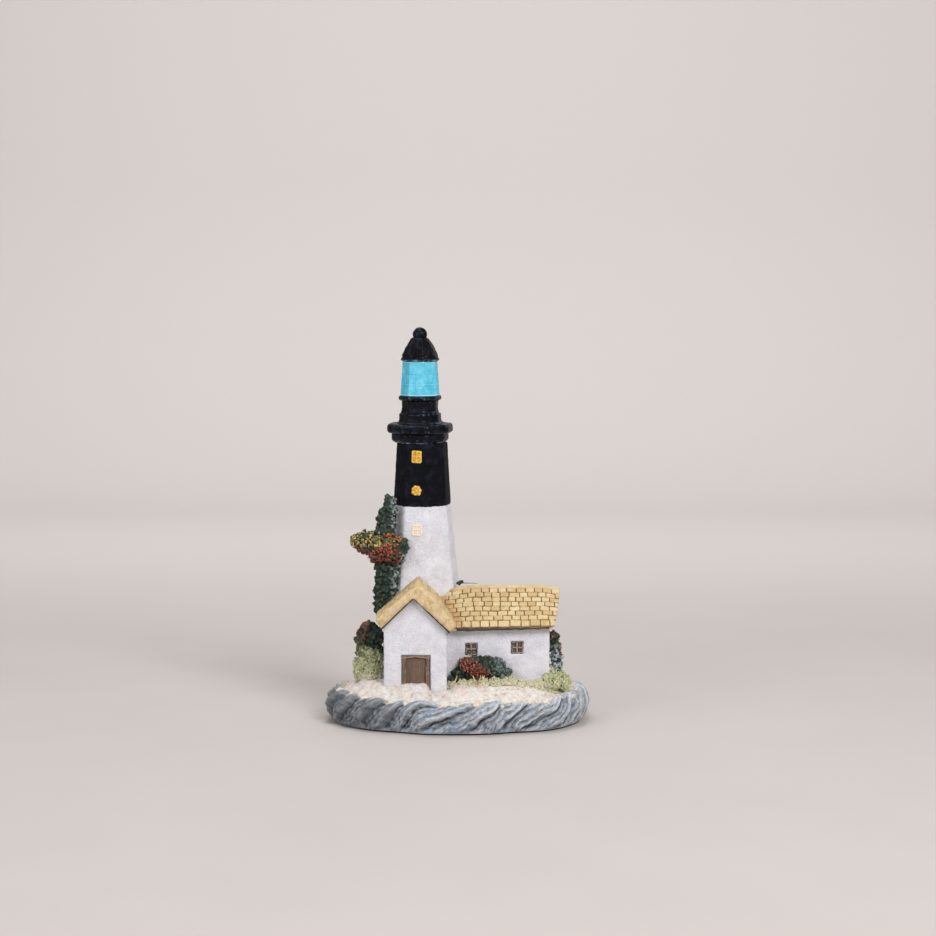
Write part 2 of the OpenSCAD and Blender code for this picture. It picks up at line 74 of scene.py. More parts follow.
BASE_LOW, BASE_HIGH = box_mm("rock_base")
HALF_W = (BASE_HIGH.x - BASE_LOW.x) / 2
HALF_D = (BASE_HIGH.y - BASE_LOW.y) / 2
BANK = 2.0      # how far the sand is banked up above the level that the walls stand on
GROUND_Z = box_mm("sand_ground")[1].z - BANK

GABLE_LOW, GABLE_HIGH = box_mm("gable_walls")
GABLE_ROOF_LOW, GABLE_ROOF_HIGH = box_mm("gable_roof")
WING_LOW, WING_HIGH = box_mm("wing_walls")
DECK_LOW, DECK_HIGH = box_mm("wing_roof_deck")
DOOR_LOW, DOOR_HIGH = box_mm("door_frame")


# ---------------------------------------------------------------- smooth noise on arrays of points
def lattice(cells, seed):
    """A repeatable number from 0 to 1 for each whole-number cell."""
    c = (cells & 0xFFFFFFFF).astype(np.uint32)
    h = c[:, 0] * np.uint32(73856093)
    h ^= c[:, 1] * np.uint32(19349663)
    h ^= c[:, 2] * np.uint32(83492791)
    h ^= np.uint32((seed * 2654435761) & 0xFFFFFFFF)
    h = (h ^ (h >> np.uint32(13))) * np.uint32(1274126177)
    h ^= h >> np.uint32(16)
    return (h & np.uint32(0xFFFF)).astype(float) / 65535


def bumps(points, size, seed=0):
    """Smooth noise from -1 to 1 whose bumps are about size mm wide."""
    p = points / np.asarray(size, float)
    cell = np.floor(p).astype(np.int64)
    f = p - cell
    f = f * f * (3 - 2 * f)
    total = np.zeros(len(points))
    for corner in range(8):
        step = np.array([corner & 1, corner >> 1 & 1, corner >> 2 & 1])
        weight = np.where(step > 0, f, 1 - f).prod(axis=1)
        total += weight * lattice(cell + step, seed)
    return 2 * total - 1


def rough(points, size, octaves=3, seed=0):
    """Several layers of noise, each half as wide and half as deep as the one before."""
    total = np.zeros(len(points))
    for k in range(octaves):
        total += 0.5 ** k * bumps(points, np.asarray(size, float) / 2 ** k, seed + 17 * k)
    return total / 1.75


def step_up(x, low, high):
    t = np.clip((x - low) / (high - low), 0, 1)
    return t * t * (3 - 2 * t)


def turns(columns):
    """Evenly spaced angles round a full turn."""
    return np.arange(columns) * 2 * math.pi / columns


def ring(r, a, z, x=0, y=0):
    """Points at radius r, angles a and height z about an upright axis."""
    return np.stack([x + r * np.cos(a), y + r * np.sin(a), 0 * a + z], axis=1)


# ---------------------------------------------------------------- mesh helpers
def make_mesh(verts, faces):
    mesh = bpy.data.meshes.new("part")
    mesh.from_pydata([tuple(v) for v in np.asarray(verts, float).tolist()], [], faces)
    mesh.update()
    return mesh


def column(vertices, name):
    """One three-number property of all the vertices."""
    values = np.empty(len(vertices) * 3)
    vertices.foreach_get(name, values)
    return values.reshape(-1, 3)


def points_of(mesh):
    return column(mesh.vertices, "co")


def normals_of(mesh):
    return column(mesh.vertices, "normal")


def move_points(mesh, points):
    mesh.vertices.foreach_set("co", np.ascontiguousarray(points).ravel())
    mesh.update()


def blurred(mesh, points, rounds):
    """Points after each has moved half way to the mean of its neighbours, rounds times."""
    pairs = np.empty(len(mesh.edges) * 2, dtype=np.int64)
    mesh.edges.foreach_get("vertices", pairs)
    a, b = pairs.reshape(-1, 2).T
    n = len(points)
    count = np.maximum(np.bincount(a, minlength=n) + np.bincount(b, minlength=n), 1)
    p = points.copy()
    for _ in range(rounds):
        mean = np.empty_like(p)
        for k in range(p.shape[1]):
            mean[:, k] = (np.bincount(a, p[b, k], n) + np.bincount(b, p[a, k], n)) / count
        p += 0.5 * (mean - p)
    return p


def add_values(mesh, name, values):
    """Store one number for each vertex, or the same number for all of them."""
    layer = mesh.attributes.new(name, "FLOAT", "POINT")
    values = np.broadcast_to(values, len(mesh.vertices))
    layer.data.foreach_set("value", np.ascontiguousarray(values, dtype=np.float32))


def add_relief(mesh, reach, rounds=14):
    """Store 0 in hollows, 0.5 on plain stretches and 1 on ridges, for darker hollows (painted shade on
    several paints) and for dry-brushing and painted highlights on the ridges.
    """
    p = points_of(mesh)
    lift = ((p - blurred(mesh, p, rounds)) * normals_of(mesh)).sum(axis=1)
    add_values(mesh, "relief", np.clip(0.5 + 0.5 * lift / reach, 0, 1))


def displaced(mesh, depth):
    """Move each vertex along its normal by depth(points), in mm."""
    p = points_of(mesh)
    move_points(mesh, p + normals_of(mesh) * depth(p)[:, None])


def band_faces(rows, n, start=0):
    """Faces between neighbouring rings of n points."""
    corners = [(k * n, i, (i + 1) % n) for k in range(rows - 1) for i in range(n)]
    return [(start + k + i, start + k + j, start + k + n + j, start + k + n + i) for k, i, j in corners]


def skin_shell(rings):
    """Vertices and faces of a closed skin through rings of equal length, capped by one face at each end."""
    rings = np.asarray(rings, float)
    rows, n = rings.shape[:2]
    caps = [tuple(range(n - 1, -1, -1)), tuple(range((rows - 1) * n, rows * n))]
    return rings.reshape(-1, 3), band_faces(rows, n) + caps


def skin(rings):
    return make_mesh(*skin_shell(rings))


def joined(shells):
    """One vertex list and one face list from several (vertices, faces) shells."""
    verts, faces, start = [], [], 0
    for v, f in shells:
        verts.append(np.asarray(v, float))
        faces.extend([tuple(start + i for i in face) for face in f])
        start += len(v)
    return np.concatenate(verts), faces


def voxel_union(shells, voxel):
    """Closed shells fused into one even mesh of squares about voxel mm wide."""
    mesh = make_mesh(*joined(shells))
    thing = bpy.data.objects.new("raw", mesh)
    bpy.context.scene.collection.objects.link(thing)
    remesh = thing.modifiers.new("remesh", "REMESH")
    remesh.mode = "VOXEL"
    remesh.voxel_size = voxel
    remesh.use_smooth_shade = True
    graph = bpy.context.evaluated_depsgraph_get()
    result = bpy.data.meshes.new_from_object(thing.evaluated_get(graph))
    bpy.data.objects.remove(thing)
    bpy.data.meshes.remove(mesh)
    return result


def sculpted(shells, voxel, rounds, depth=None, relief=None):
    """Shells fused, softened, roughened by depth(points), and given a (reach, rounds) relief."""
    mesh = voxel_union(shells, voxel)
    move_points(mesh, blurred(mesh, points_of(mesh), rounds))
    if depth:
        displaced(mesh, depth)
    if relief:
        add_relief(mesh, *relief)
    return mesh


def grain(depth, size, octaves, seed):
    return lambda p: depth * rough(p, size, octaves, seed)


def turned_over(shell):
    """The same shell with its faces the other way round."""
    verts, faces = shell
    return verts, [tuple(reversed(f)) for f in faces]


def box_shell(low, high):
    xs, ys, zs = zip(low, high)
    verts = [(x, y, z) for z in zs for y in ys for x in xs]
    faces = [(0, 2, 3, 1), (4, 5, 7, 6), (0, 1, 5, 4), (2, 6, 7, 3), (0, 4, 6, 2), (1, 3, 7, 5)]
    return verts, faces


def prism_shell(outline, low, high, axis):
    """Outline of (x, z) points along Y, or of (y, z) points along X, between low and high."""
    n = len(outline)
    along_y = axis == "y"
    verts = [(a, end, b) if along_y else (end, a, b) for end in (low, high) for a, b in outline]
    faces = band_faces(2, n) + [tuple(range(n - 1, -1, -1)), tuple(range(n, 2 * n))]
    return (verts, faces) if along_y else turned_over((verts, faces))


def ball_shell(centre, radius, rows=10, columns=16):
    spins = turns(columns)
    verts = []
    for a in (math.pi * i / rows for i in range(1, rows)):
        verts += [(math.sin(a) * math.cos(b), math.sin(a) * math.sin(b), -math.cos(a)) for b in spins]
    verts = np.array([(0, 0, -1)] + verts + [(0, 0, 1)])
    top, low = len(verts) - 1, 1 + (rows - 2) * columns
    faces = [(0, 1 + (j + 1) % columns, 1 + j) for j in range(columns)]
    faces += band_faces(rows - 1, columns, 1)
    faces += [(low + j, low + (j + 1) % columns, top) for j in range(columns)]
    return verts * radius + np.array(centre), faces


def rod_shell(path, radii, sides=8):
    """Round rod through the path's points."""
    path = [Vector(p) for p in path]
    rings = []
    for i, p in enumerate(path):
        ahead = path[min(i + 1, len(path) - 1)] - path[max(i - 1, 0)]
        turn = ahead.to_track_quat("Z", "Y")
        spokes = [Vector((math.cos(a), math.sin(a), 0)) for a in turns(sides)]
        rings.append([tuple(p + turn @ spoke * radii[i]) for spoke in spokes])
    return skin_shell(rings)


def link(thing):
    bpy.context.scene.collection.objects.link(thing)
    return thing


def smooth_in_metres(mesh, material):
    mesh.transform(Matrix.Scale(MM, 4))
    mesh.polygons.foreach_set("use_smooth", [True] * len(mesh.polygons))
    mesh.materials.clear()
    mesh.materials.append(material)
    mesh.update()


def add_piece(mesh, material, slot, *nodes, name=None):
    """Put a mesh made in mm into the scene as a piece that stands for the CAD nodes.

    Without a name of its own it's called after the first node.
    """
    name = name or nodes[0] + "_visual"
    if "relief" not in mesh.attributes:
        add_relief(mesh, 0.12)
    smooth_in_metres(mesh, material)
    mesh.name = name
    piece = link(bpy.data.objects.new(name, mesh))
    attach(piece, "root")
    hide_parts(*nodes)


# ---------------------------------------------------------------- materials
def linear(colour):
    """sRGB 0 to 255 to scene-linear, with an opaque alpha."""
    parts = [c / 255 for c in colour]
    return (*(c / 12.92 if c <= 0.04045 else ((c + 0.055) / 1.055) ** 2.4 for c in parts), 1)


class Recipe:
    """A node material whose patterns are laid out in millimetres of the object's own space."""

    def __init__(self, name):
        self.material = bpy.data.materials.new(name)
        self.material.use_nodes = True
        self.tree = self.material.node_tree
        self.shader = self.tree.nodes["Principled BSDF"]
        scale = self.node("VectorMath", operation="SCALE")
        scale.inputs["Scale"].default_value = 1 / MM
        self.feed(scale.inputs[0], self.node("TexCoord").outputs["Object"])
        self.place = scale.outputs[0]

    def node(self, kind, **settings):
        node = self.tree.nodes.new("ShaderNode" + kind)
        for name, value in settings.items():
            setattr(node, name, value)
        return node

    def feed(self, socket, item):
        """Link a socket to another node's output, or set it to a number or an sRGB colour."""
        if isinstance(item, (int, float)):
            socket.default_value = item
        elif isinstance(item, tuple):
            socket.default_value = linear(item)
        else:
            self.tree.links.new(item, socket)

    def made(self, node, output, **inputs):
        """The node's output, after its named inputs are fed."""
        for name, item in inputs.items():
            self.feed(node.inputs[name.replace("_", " ")], item)
        return node.outputs[output]

    def noise(self, size, detail=3, rough=0.6):
        node = self.node("TexNoise")
        return self.made(node, "Fac", Scale=1 / size, Detail=detail, Roughness=rough, Vector=self.place)

    def cells(self, size):
        return self.made(self.node("TexVoronoi"), "Distance", Scale=1 / size, Vector=self.place)

    def value(self, name):
        return self.node("Attribute", attribute_name=name).outputs["Fac"]

    def along(self, axis):
        return self.made(self.node("SeparateXYZ"), axis, Vector=self.place)

    def math(self, operation, a, b):
        node = self.node("Math", operation=operation)
        self.feed(node.inputs[0], a)
        self.feed(node.inputs[1], b)
        return node.outputs[0]

    def times(self, first, *rest):
        for item in rest:
            first = self.math("MULTIPLY", first, item)
        return first

    def spread(self, value, low, high):
        """The value taken smoothly from low..high to 0..1, clamped."""
        node = self.node("MapRange", interpolation_type="SMOOTHSTEP")
        return self.made(node, "Result", From_Min=low, From_Max=high, Value=value)

    def patches(self, low, high, *noise):
        return self.spread(self.noise(*noise), low, high)

    def specks(self, size, low, high, *patches):
        """Dots on a cell pattern, left out where the patches are 0."""
        return self.times(self.spread(self.cells(size), low, high), self.patches(*patches))

    def level(self, size, detail, rough, amount, *more):
        """The relief value, made uneven by noise, plus anything more."""
        uneven = self.times(self.math("SUBTRACT", self.noise(size, detail, rough), 0.5), amount)
        total = self.math("ADD", self.value("relief"), uneven)
        for item in more:
            total = self.math("ADD", total, item)
        return total

    def varied(self, size, detail, amount, base):
        """A roughness that varies from base by up to amount."""
        return self.math("ADD", self.times(self.noise(size, detail), amount), base)

    def ramp(self, value, *stops):
        node = self.node("ValToRGB")
        elements = node.color_ramp.elements
        while len(elements) < len(stops):
            elements.new(0.5)
        for element, (place, *colour) in zip(elements, stops):
            element.position = place
            element.color = linear(colour)
        return self.made(node, "Color", Fac=value)

    def mix(self, amount, under, over):
        node = self.node("Mix", data_type="RGBA")
        for socket, item in (("Factor", amount), (6, under), (7, over)):
            self.feed(node.inputs[socket], item)
        return node.outputs[2]

    def base(self, value, *stops):
        self.colour = self.ramp(value, *stops)

    def over(self, amount, tint):
        self.colour = self.mix(amount, self.colour, tint)

    def wash(self, tint, share, *masks):
        """Brush a tint over the colour, by up to share where the masks are 1."""
        self.over(self.times(*masks, share), tint)

    def bump(self, height, depth, under=None):
        """Bump from a 0 to 1 height that stands for depth mm."""
        inputs = {"Distance": depth * MM, "Strength": 1.0, "Height": height}
        if under is not None:
            inputs["Normal"] = under
        return self.made(self.node("Bump"), "Normal", **inputs)

    def finish(self, roughness, normal, specular, coat=0.0):
        self.made(self.shader, 0, Base_Color=self.colour, Roughness=roughness, Normal=normal)
        self.made(self.shader, 0, Specular_IOR_Level=specular)
        if coat:
            self.made(self.shader, 0, Coat_Weight=coat, Coat_Roughness=0.25)
        return self.material


def white_stucco(band_z=None):
    """Chalk white with a lavender cast, fine pits, a little grime and painted shade in its hollows; a ragged
    black edge at band_z.
    """
    r = Recipe("white_stucco_band" if band_z else "white_stucco")
    r.base(r.noise(4, 4), (0.3, 207, 205, 213), (0.5, 220, 219, 226), (0.7, 230, 229, 234))
    r.wash((216, 204, 202), 0.35, r.patches(0.54, 0.7, 9, 3))
    grit = r.noise(0.5, 4, 0.75)
    r.wash((170, 168, 182), 0.3, r.spread(grit, 0.46, 0.34))
    pits = r.spread(r.cells(0.62), 0.28, 0.02)
    r.wash((140, 138, 150), 0.6, pits, r.patches(0.5, 0.64, 1.6, 2))
    r.wash((110, 102, 106), 0.4, r.specks(1.1, 0.13, 0.06, 0.5, 0.6, 2.6, 2))
    # Painted shade: greyer in the hollows, where the relief value is low.
    r.wash((160, 154, 162), 0.45, r.spread(r.value("relief"), 0.42, 0.1))
    if band_z:
        ragged = r.math("ADD", r.along("Z"), r.times(r.noise(1.1, 3), 0.9))
        r.over(r.spread(ragged, band_z + 0.28, band_z + 0.42), (15, 16, 23))
    normal = r.bump(pits, -0.1, r.bump(grit, 0.3))
    return r.finish(r.varied(1.5, 2, 0.2, 0.62), normal, 0.25)


def black_paint(name, grain_size, grain_depth, low, high, coat, sheen_colour):
    """Near-black paint with a navy cast, a painted sheen on the ridges, painted glints in small specks, and
    pale blue touches along lower edges: real paint on the dome's rim, a painted highlight on the other black
    stages.
    """
    r = Recipe(name)
    r.base(r.noise(2.2, 4), (0.3, 4, 5, 8), (0.52, 11, 12, 19), (0.72, 27, 30, 46))
    # Painted sheen: the ridges are lightened towards the sheen colour, as light catching them.
    sheen_on_ridges = r.spread(r.value("relief"), 0.6, 0.95)
    r.wash(sheen_colour, 0.45, sheen_on_ridges, r.patches(0.5, 0.68, 0.9, 3))
    # Pale blue along lower edges: real paint on the dome's rim, a painted highlight on the other black
    # stages.
    r.wash((136, 172, 194), 0.8, r.value("wear_and_glint"), r.patches(0.42, 0.62, 1.3, 4))
    # Painted glints: small specks in the sheen colour.
    r.wash(sheen_colour, 0.35, r.specks(0.5, 0.16, 0.05, 0.5, 0.7, 2.0, 2))
    normal = r.bump(r.noise(grain_size, 3, 0.65), grain_depth)
    return r.finish(r.varied(1.1, 3, high - low, low), normal, 0.08, coat)


def lantern_paint():
    r = Recipe("lantern_blue")
    r.base(r.noise(2.4, 3), (0.3, 68, 176, 205), (0.5, 86, 188, 216), (0.72, 120, 206, 230))
    # Painted shade: darker in the grooves between the panes.
    r.wash((46, 146, 184), 0.8, r.spread(r.value("relief"), 0.5, 0.12))
    # Painted highlight: paler on the facet corners and the bars, where light catches them.
    r.wash((168, 228, 240), 0.55, r.spread(r.value("relief"), 0.58, 0.95))
    return r.finish(r.varied(1.0, 2, 0.2, 0.34), r.bump(r.noise(0.5, 3), 0.05), 0.45)


def washed_paint(name, deep, low, mid, high, mottle, rough_base=0.62, grain_size=0.5, depth=0.1):
    """Body colour, darker in the hollows, with a pale dry-brush on the ridges, and mottling."""
    r = Recipe(name)
    level = r.level(1.3, 4, 0.6, 0.45)
    r.base(level, (0.14, *deep), (0.36, *low), (0.56, *mid), (0.86, *high))
    r.wash(mottle, 0.55, r.patches(0.5, 0.7, 3.5, 3))
    r.over(0.25, r.ramp(r.noise(0.45, 2), (0.35, *low), (0.65, *high)))
    normal = r.bump(r.noise(grain_size, 4, 0.65), depth)
    return r.finish(r.varied(0.9, 2, 0.25, rough_base - 0.12), normal, 0.35)


def rock_paint():
    """Grey-blue slate with dark grooves, pale streaks on the ridges, olive and brown patches, and painted
    shade over its left end.
    """
    r = Recipe("rock_paint")
    brush = r.times(r.math("SUBTRACT", r.value("stroke"), 0.5), 0.3)
    level = r.level(1.3, 4, 0.75, 0.6, brush)
    r.base(
        level, (0.1, 42, 44, 48), (0.32, 96, 101, 107), (0.54, 143, 149, 157), (0.78, 178, 183, 189),
        (1.0, 198, 202, 206))
    r.wash((112, 130, 154), 0.35, r.patches(0.48, 0.62, 4, 3))
    r.wash((128, 125, 114), 0.55, r.patches(0.56, 0.68, 5.5, 3))
    r.wash((72, 75, 80), 0.6, r.patches(0.58, 0.68, 3.1, 4, 0.7))
    chalk = r.patches(0.56, 0.66, 0.6, 4, 0.7)
    r.wash((208, 213, 216), 0.5, chalk, r.spread(level, 0.45, 0.75))
    # Painted shade: darker where the shade value is high, over the rock's left end.
    r.wash((72, 75, 78), 0.6, r.value("shade"))
    sand = r.ramp(r.noise(0.9, 4, 0.7), (0.38, 172, 156, 140), (0.5, 208, 198, 186), (0.64, 228, 222, 214))
    r.over(r.value("sandy"), sand)
    return r.finish(r.varied(0.8, 2, 0.3, 0.45), r.bump(r.noise(0.45, 4, 0.75), 0.22), 0.35)


def sand_paint():
    """Cream and pink-beige sand, with painted shade in its hollows and the grass colour brushed on where the
    grass value says so.
    """
    r = Recipe("sand_paint")
    r.base(
        r.noise(2.2, 4, 0.7), (0.3, 188, 176, 166), (0.44, 210, 202, 195), (0.56, 220, 213, 207),
        (0.72, 232, 228, 224))
    r.wash((214, 190, 176), 0.45, r.patches(0.52, 0.66, 3.4, 3))
    r.wash((160, 138, 120), 0.45, r.patches(0.56, 0.66, 0.5, 3, 0.7))
    # Painted shade: darker in the hollows.
    r.wash((158, 138, 120), 0.6, r.spread(r.value("relief"), 0.45, 0.12))
    brushed = r.math("ADD", r.value("grass"), r.times(r.noise(1.1, 3), 0.6))
    green = r.ramp(r.noise(0.8, 4, 0.7), (0.38, 136, 138, 100), (0.5, 176, 176, 140), (0.64, 214, 208, 184))
    r.over(r.spread(brushed, 0.62, 0.95), green)
    return r.finish(0.76, r.bump(r.noise(0.42, 4, 0.75), 0.24), 0.2)


def shingle_paint():
    """Tan-yellow tiles, each a little different, with brown in the joints and browner towards the left ends
    of the courses, at the valley and the tower.
    """
    r = Recipe("shingle_paint")
    r.base(r.value("shade"), (0.0, 178, 151, 107), (0.5, 192, 169, 126), (1.0, 202, 183, 143))
    r.wash((182, 149, 98), 0.5, r.patches(0.5, 0.64, 1.2, 4, 0.7))
    r.wash((214, 200, 168), 0.55, r.patches(0.53, 0.66, 1.7, 4, 0.7))
    r.wash((160, 112, 60), 0.75, r.value("left_end_brown"), r.patches(0.36, 0.56, 0.9, 3))
    r.wash((146, 112, 70), 0.4, r.spread(r.value("relief"), 0.55, 0.15))
    return r.finish(0.66, r.bump(r.noise(0.5, 4, 0.65), 0.12), 0.25)


def roof_paint():
    """Smooth tan gable board with pinkish and olive brushing, small brown flecks and painted shade in its
    hollows.
    """
    r = Recipe("roof_paint")
    r.base(r.noise(1.8, 4, 0.7), (0.34, 180, 154, 110), (0.5, 203, 178, 134), (0.66, 219, 201, 164))
    r.wash((208, 178, 150), 0.5, r.patches(0.5, 0.64, 3.6, 3))
    r.wash((132, 116, 66), 0.75, r.patches(0.46, 0.62, 2.2, 3), r.value("shade"))
    r.wash((112, 84, 56), 0.75, r.specks(1.2, 0.2, 0.1, 0.44, 0.56, 2.0, 2))
    # Painted shade: brown in the hollows.
    r.wash((124, 92, 54), 0.7, r.spread(r.value("relief"), 0.46, 0.12))
    return r.finish(0.68, r.bump(r.noise(0.6, 4, 0.65), 0.16), 0.25)


def leaf_paint():
    """Leaves near black in the hollows, dark green above, with frost, rust and moss brushed on."""
    r = Recipe("leaf_paint")
    level = r.level(0.9, 3, 0.7, 0.5)
    r.base(
        level, (0.24, 7, 10, 10), (0.46, 22, 31, 24), (0.64, 44, 58, 40), (0.84, 84, 100, 72),
        (0.99, 150, 162, 136))
    r.wash((34, 58, 62), 0.45, r.patches(0.5, 0.64, 2.6, 3))
    for name, tint, share in (("rust", (124, 70, 54), 0.75), ("moss", (134, 122, 62), 0.7)):
        brushed = r.times(r.value(name), r.patches(0.42, 0.58, 1.1, 3), r.spread(level, 0.25, 0.55))
        r.wash(tint, share, brushed)
    frost = r.times(r.patches(0.42, 0.56, 1.0, 3), r.value("frost"), r.spread(level, 0.3, 0.6))
    r.wash((158, 171, 174), 0.8, frost)
    return r.finish(r.varied(0.7, 2, 0.3, 0.45), r.bump(r.noise(0.4, 3, 0.6), 0.09), 0.3)


def grass_paint():
    """Olive in the hollows, straw and cream on the tufts, darker where the shade value says so."""
    r = Recipe("grass_paint")
    level = r.level(0.8, 4, 0.7, 0.6)
    r.base(
        level, (0.15, 92, 96, 66), (0.4, 146, 150, 110), (0.6, 182, 184, 146), (0.8, 210, 208, 180),
        (0.98, 228, 222, 206))
    r.wash((204, 190, 158), 0.5, r.patches(0.5, 0.66, 2.0, 3))
    r.wash((58, 68, 40), 0.75, r.patches(0.42, 0.6, 1.8, 3), r.value("shade"))
    r.wash((212, 200, 182), 0.85, r.value("foot"), r.patches(0.34, 0.56, 0.7, 4, 0.7))
    return r.finish(0.66, r.bump(r.noise(0.35, 3, 0.6), 0.1), 0.25)


def flower_paint():
    """Dabs from wine through red and orange to yellow ochre, one hue for each."""
    r = Recipe("flower_paint")
    r.base(
        r.value("hue"), (0.0, 84, 30, 34), (0.25, 146, 54, 42), (0.5, 174, 98, 54), (0.75, 164, 126, 60),
        (1.0, 182, 160, 96))
    r.wash((80, 26, 20), 0.6, r.spread(r.value("relief"), 0.5, 0.1))
    r.wash((226, 180, 130), 0.3, r.patches(0.55, 0.7, 0.5, 2))
    return r.finish(0.55, r.bump(r.noise(0.3, 3), 0.05), 0.35)


def felt_paint():
    r = Recipe("felt")
    fuzz = r.noise(0.25, 4, 0.8)
    r.base(fuzz, (0.3, 22, 28, 25), (0.7, 44, 52, 47))
    return r.finish(0.95, r.bump(fuzz, 0.12), 0.1)


def window_paint():
    """Beige glazing bars over dark panes, with a dark brown line round the outside."""
    r = Recipe("window_paint")
    level = r.level(0.7, 3, 0.6, 0.4)
    r.base(
        level, (0.24, 38, 33, 36), (0.42, 84, 73, 70), (0.58, 146, 131, 120), (0.85, 184, 170, 156))
    r.wash((74, 50, 42), 0.9, r.value("edge"), r.patches(0.34, 0.5, 0.6, 3))
    return r.finish(0.6, r.bump(r.noise(0.35, 3), 0.06), 0.3)


def deck_paint():
    r = Recipe("deck_paint")
    r.base(r.noise(1.8, 4), (0.3, 196, 168, 116), (0.55, 220, 200, 158), (0.75, 234, 222, 196))
    r.over(r.value("shade"), r.ramp(r.noise(0.9, 3), (0.35, 142, 112, 72), (0.65, 172, 142, 100)))
    return r.finish(0.7, r.bump(r.noise(0.5, 3), 0.1), 0.25)


# ---------------------------------------------------------------- base
OUTLINE_POWER = 2.5
POCKET = 0.855      # rim of the sand as a share of the rock's outline


def rim_radius(a):
    """Outline of the rock base, the same formula as its CAD solid."""
    oval = (abs(np.cos(a)) / HALF_W) ** OUTLINE_POWER + (abs(np.sin(a)) / HALF_D) ** OUTLINE_POWER
    bays = 0.011 * (1 + np.sin(5 * a + math.radians(40))) + 0.006 * (1 + np.sin(11 * a))
    return 1 / oval ** (1 / OUTLINE_POWER) * (1 - (1 - np.cos(4 * a)) * bays)


def crest_height(a):
    low_back = 2.2 + 0.8 * step_up(-np.cos(a), 0.4, 0.8)
    ends = 0.9 * abs(np.cos(a)) ** 1.5 - low_back * np.maximum(0, np.sin(a)) ** 0.6
    return 9 + ends + 0.35 * np.sin(9 * a + math.radians(20))


def arc_share(a):
    """Share of the way round the rim at each of the evenly spaced angles a."""
    p = ring(rim_radius(a), a, 0)
    steps = np.linalg.norm(np.roll(p, -1, axis=0) - p, axis=1)
    return np.concatenate([[0], np.cumsum(steps)[:-1]]) / steps.sum()


def swell(q, crest=0.72):
    """One folded stratum: a slow rise and a quick fall, from 0 to 1."""
    f = q - np.floor(q)
    return step_up(f, 0, crest) - step_up(f, crest, 1)


def strata(share, h, flat):
    """Height of the rock's breaking folds at a share of the rim and a share h of its height."""
    turn = 2 * math.pi * share
    uneven = 0.34 * np.sin(3 * turn + 1) + 0.17 * np.sin(7 * turn + 2.2) + 0.07 * np.sin(12 * turn)
    lean = 0.82 + 0.3 * np.cos(turn - math.radians(310))
    sweep = lean * (1.15 * h ** 1.4 + 0.2 * h)
    phase = share * 25 + uneven - sweep + 0.3 * rough(flat, 7, 3, 5)
    fine = swell(phase * 4 + 0.8 * rough(flat, 3.4, 2, 6), 0.6)
    stroke = swell(phase * 11 + 1.6 * rough(flat, 2.4, 3, 7), 0.5)
    size = 0.8 + 0.5 * rough(flat, 8, 2, 8)
    broken = step_up(rough(flat, 5.5, 2, 10), 0.0, 0.6)
    folds = (0.15 * fine + 0.06 * stroke) * (1 - 0.6 * broken)
    return size * swell(phase), folds, 0.5 * fine + 0.5 * stroke


def rock_profile(a, v):
    """Share of the rim radius and the height at v from 0, the outer foot, to 1, the inner lip."""
    crest = crest_height(a)
    stations = [0, 0.16, 0.4, 0.58, 0.76, 0.88, 1]
    scale = np.interp(v, stations, [0.95, 0.978, 1.0, 0.99, 0.95, 0.9, 0.83])
    level = [z + 0 * a for z in (BASE_LOW.z - 0.25, 2.4, 5.4, 7.2)]
    heights = level + [crest - 0.5, crest, crest - 1.3]
    k = min(int(np.searchsorted(stations, v, side="right")) - 1, len(stations) - 2)
    t = (v - stations[k]) / (stations[k + 1] - stations[k])
    return scale, heights[k] + (heights[k + 1] - heights[k]) * t


def crags(a, flat):
    """Uneven breaks in mm, with pits towards the rock's left end."""
    ridges = 1 - 2 * np.abs(rough(flat, 3.2, 4, 9))
    pits = 0.42 * rough(flat, 1.5, 3, 14) - 0.34 * step_up(rough(flat, 1.3, 2, 15), 0.2, 0.55)
    pits = pits * step_up(-np.cos(a), 0.15, 0.75)
    return 0.34 * rough(flat, 2.2, 4, 12) + 0.3 * (ridges - 0.5) + pits


def sand_drift(a, flat):
    """How much further down the crest the sand reaches, as a share of the rock's profile."""
    drift = 0.07 * step_up(np.cos(a), -0.2, 0.7) + 0.24 * rough(flat, 1.5, 4, 21)
    return drift + 0.3 * step_up(np.sin(a), 0.08, 0.3) * step_up(-np.cos(a), 0.4, 0.8)


def rock_base():
    rows, inner_z = 60, 5
    a = turns(900)
    share, radius, crest = arc_share(a), rim_radius(a), crest_height(a)
    rings, sandy, strokes = [], [], []
    for v in np.arange(rows + 1) / rows:
        scale, z = rock_profile(a, v)
        flat = ring(radius, a, z)
        fold, fine, stroke = strata(share, np.clip(z / crest, 0, 1), flat)
        weight = step_up(v, 0.0, 0.14) * (1 - 0.5 * step_up(v, 0.84, 1.0))
        out = ((fold - 0.75) * 1.9 + fine * 1.1) * weight - 0.5 * step_up(np.cos(a), 0.5, 1)
        out += crags(a, flat) * step_up(v, 0.0, 0.1)
        rise = (fold - 0.5) * 1.15 * step_up(v, 0.6, 0.84)
        rings.append(ring(radius * scale + out, a, z + rise))
        strokes.append(stroke)
        sandy.append(step_up(v - 0.18 * (fold - 0.5) + sand_drift(a, flat), 0.8, 0.95))
    mesh = skin(rings + [rings[-1] * (0.985, 0.985, 0) + (0, 0, inner_z)])
    add_values(mesh, "stroke", np.concatenate(strokes + [stroke]))
    add_values(mesh, "sandy", np.concatenate(sandy + [1 + 0 * a]))
    p = points_of(mesh)
    # Painted shade: the rock darkens towards its left end, the side away from the light.
    add_values(mesh, "shade", step_up(-p[:, 0] + 3 * rough(p, 6, 2, 22), 8, 26))
    add_relief(mesh, 0.34, 26)
    add_piece(mesh, rock_paint(), "rock_paint", "rock_base")


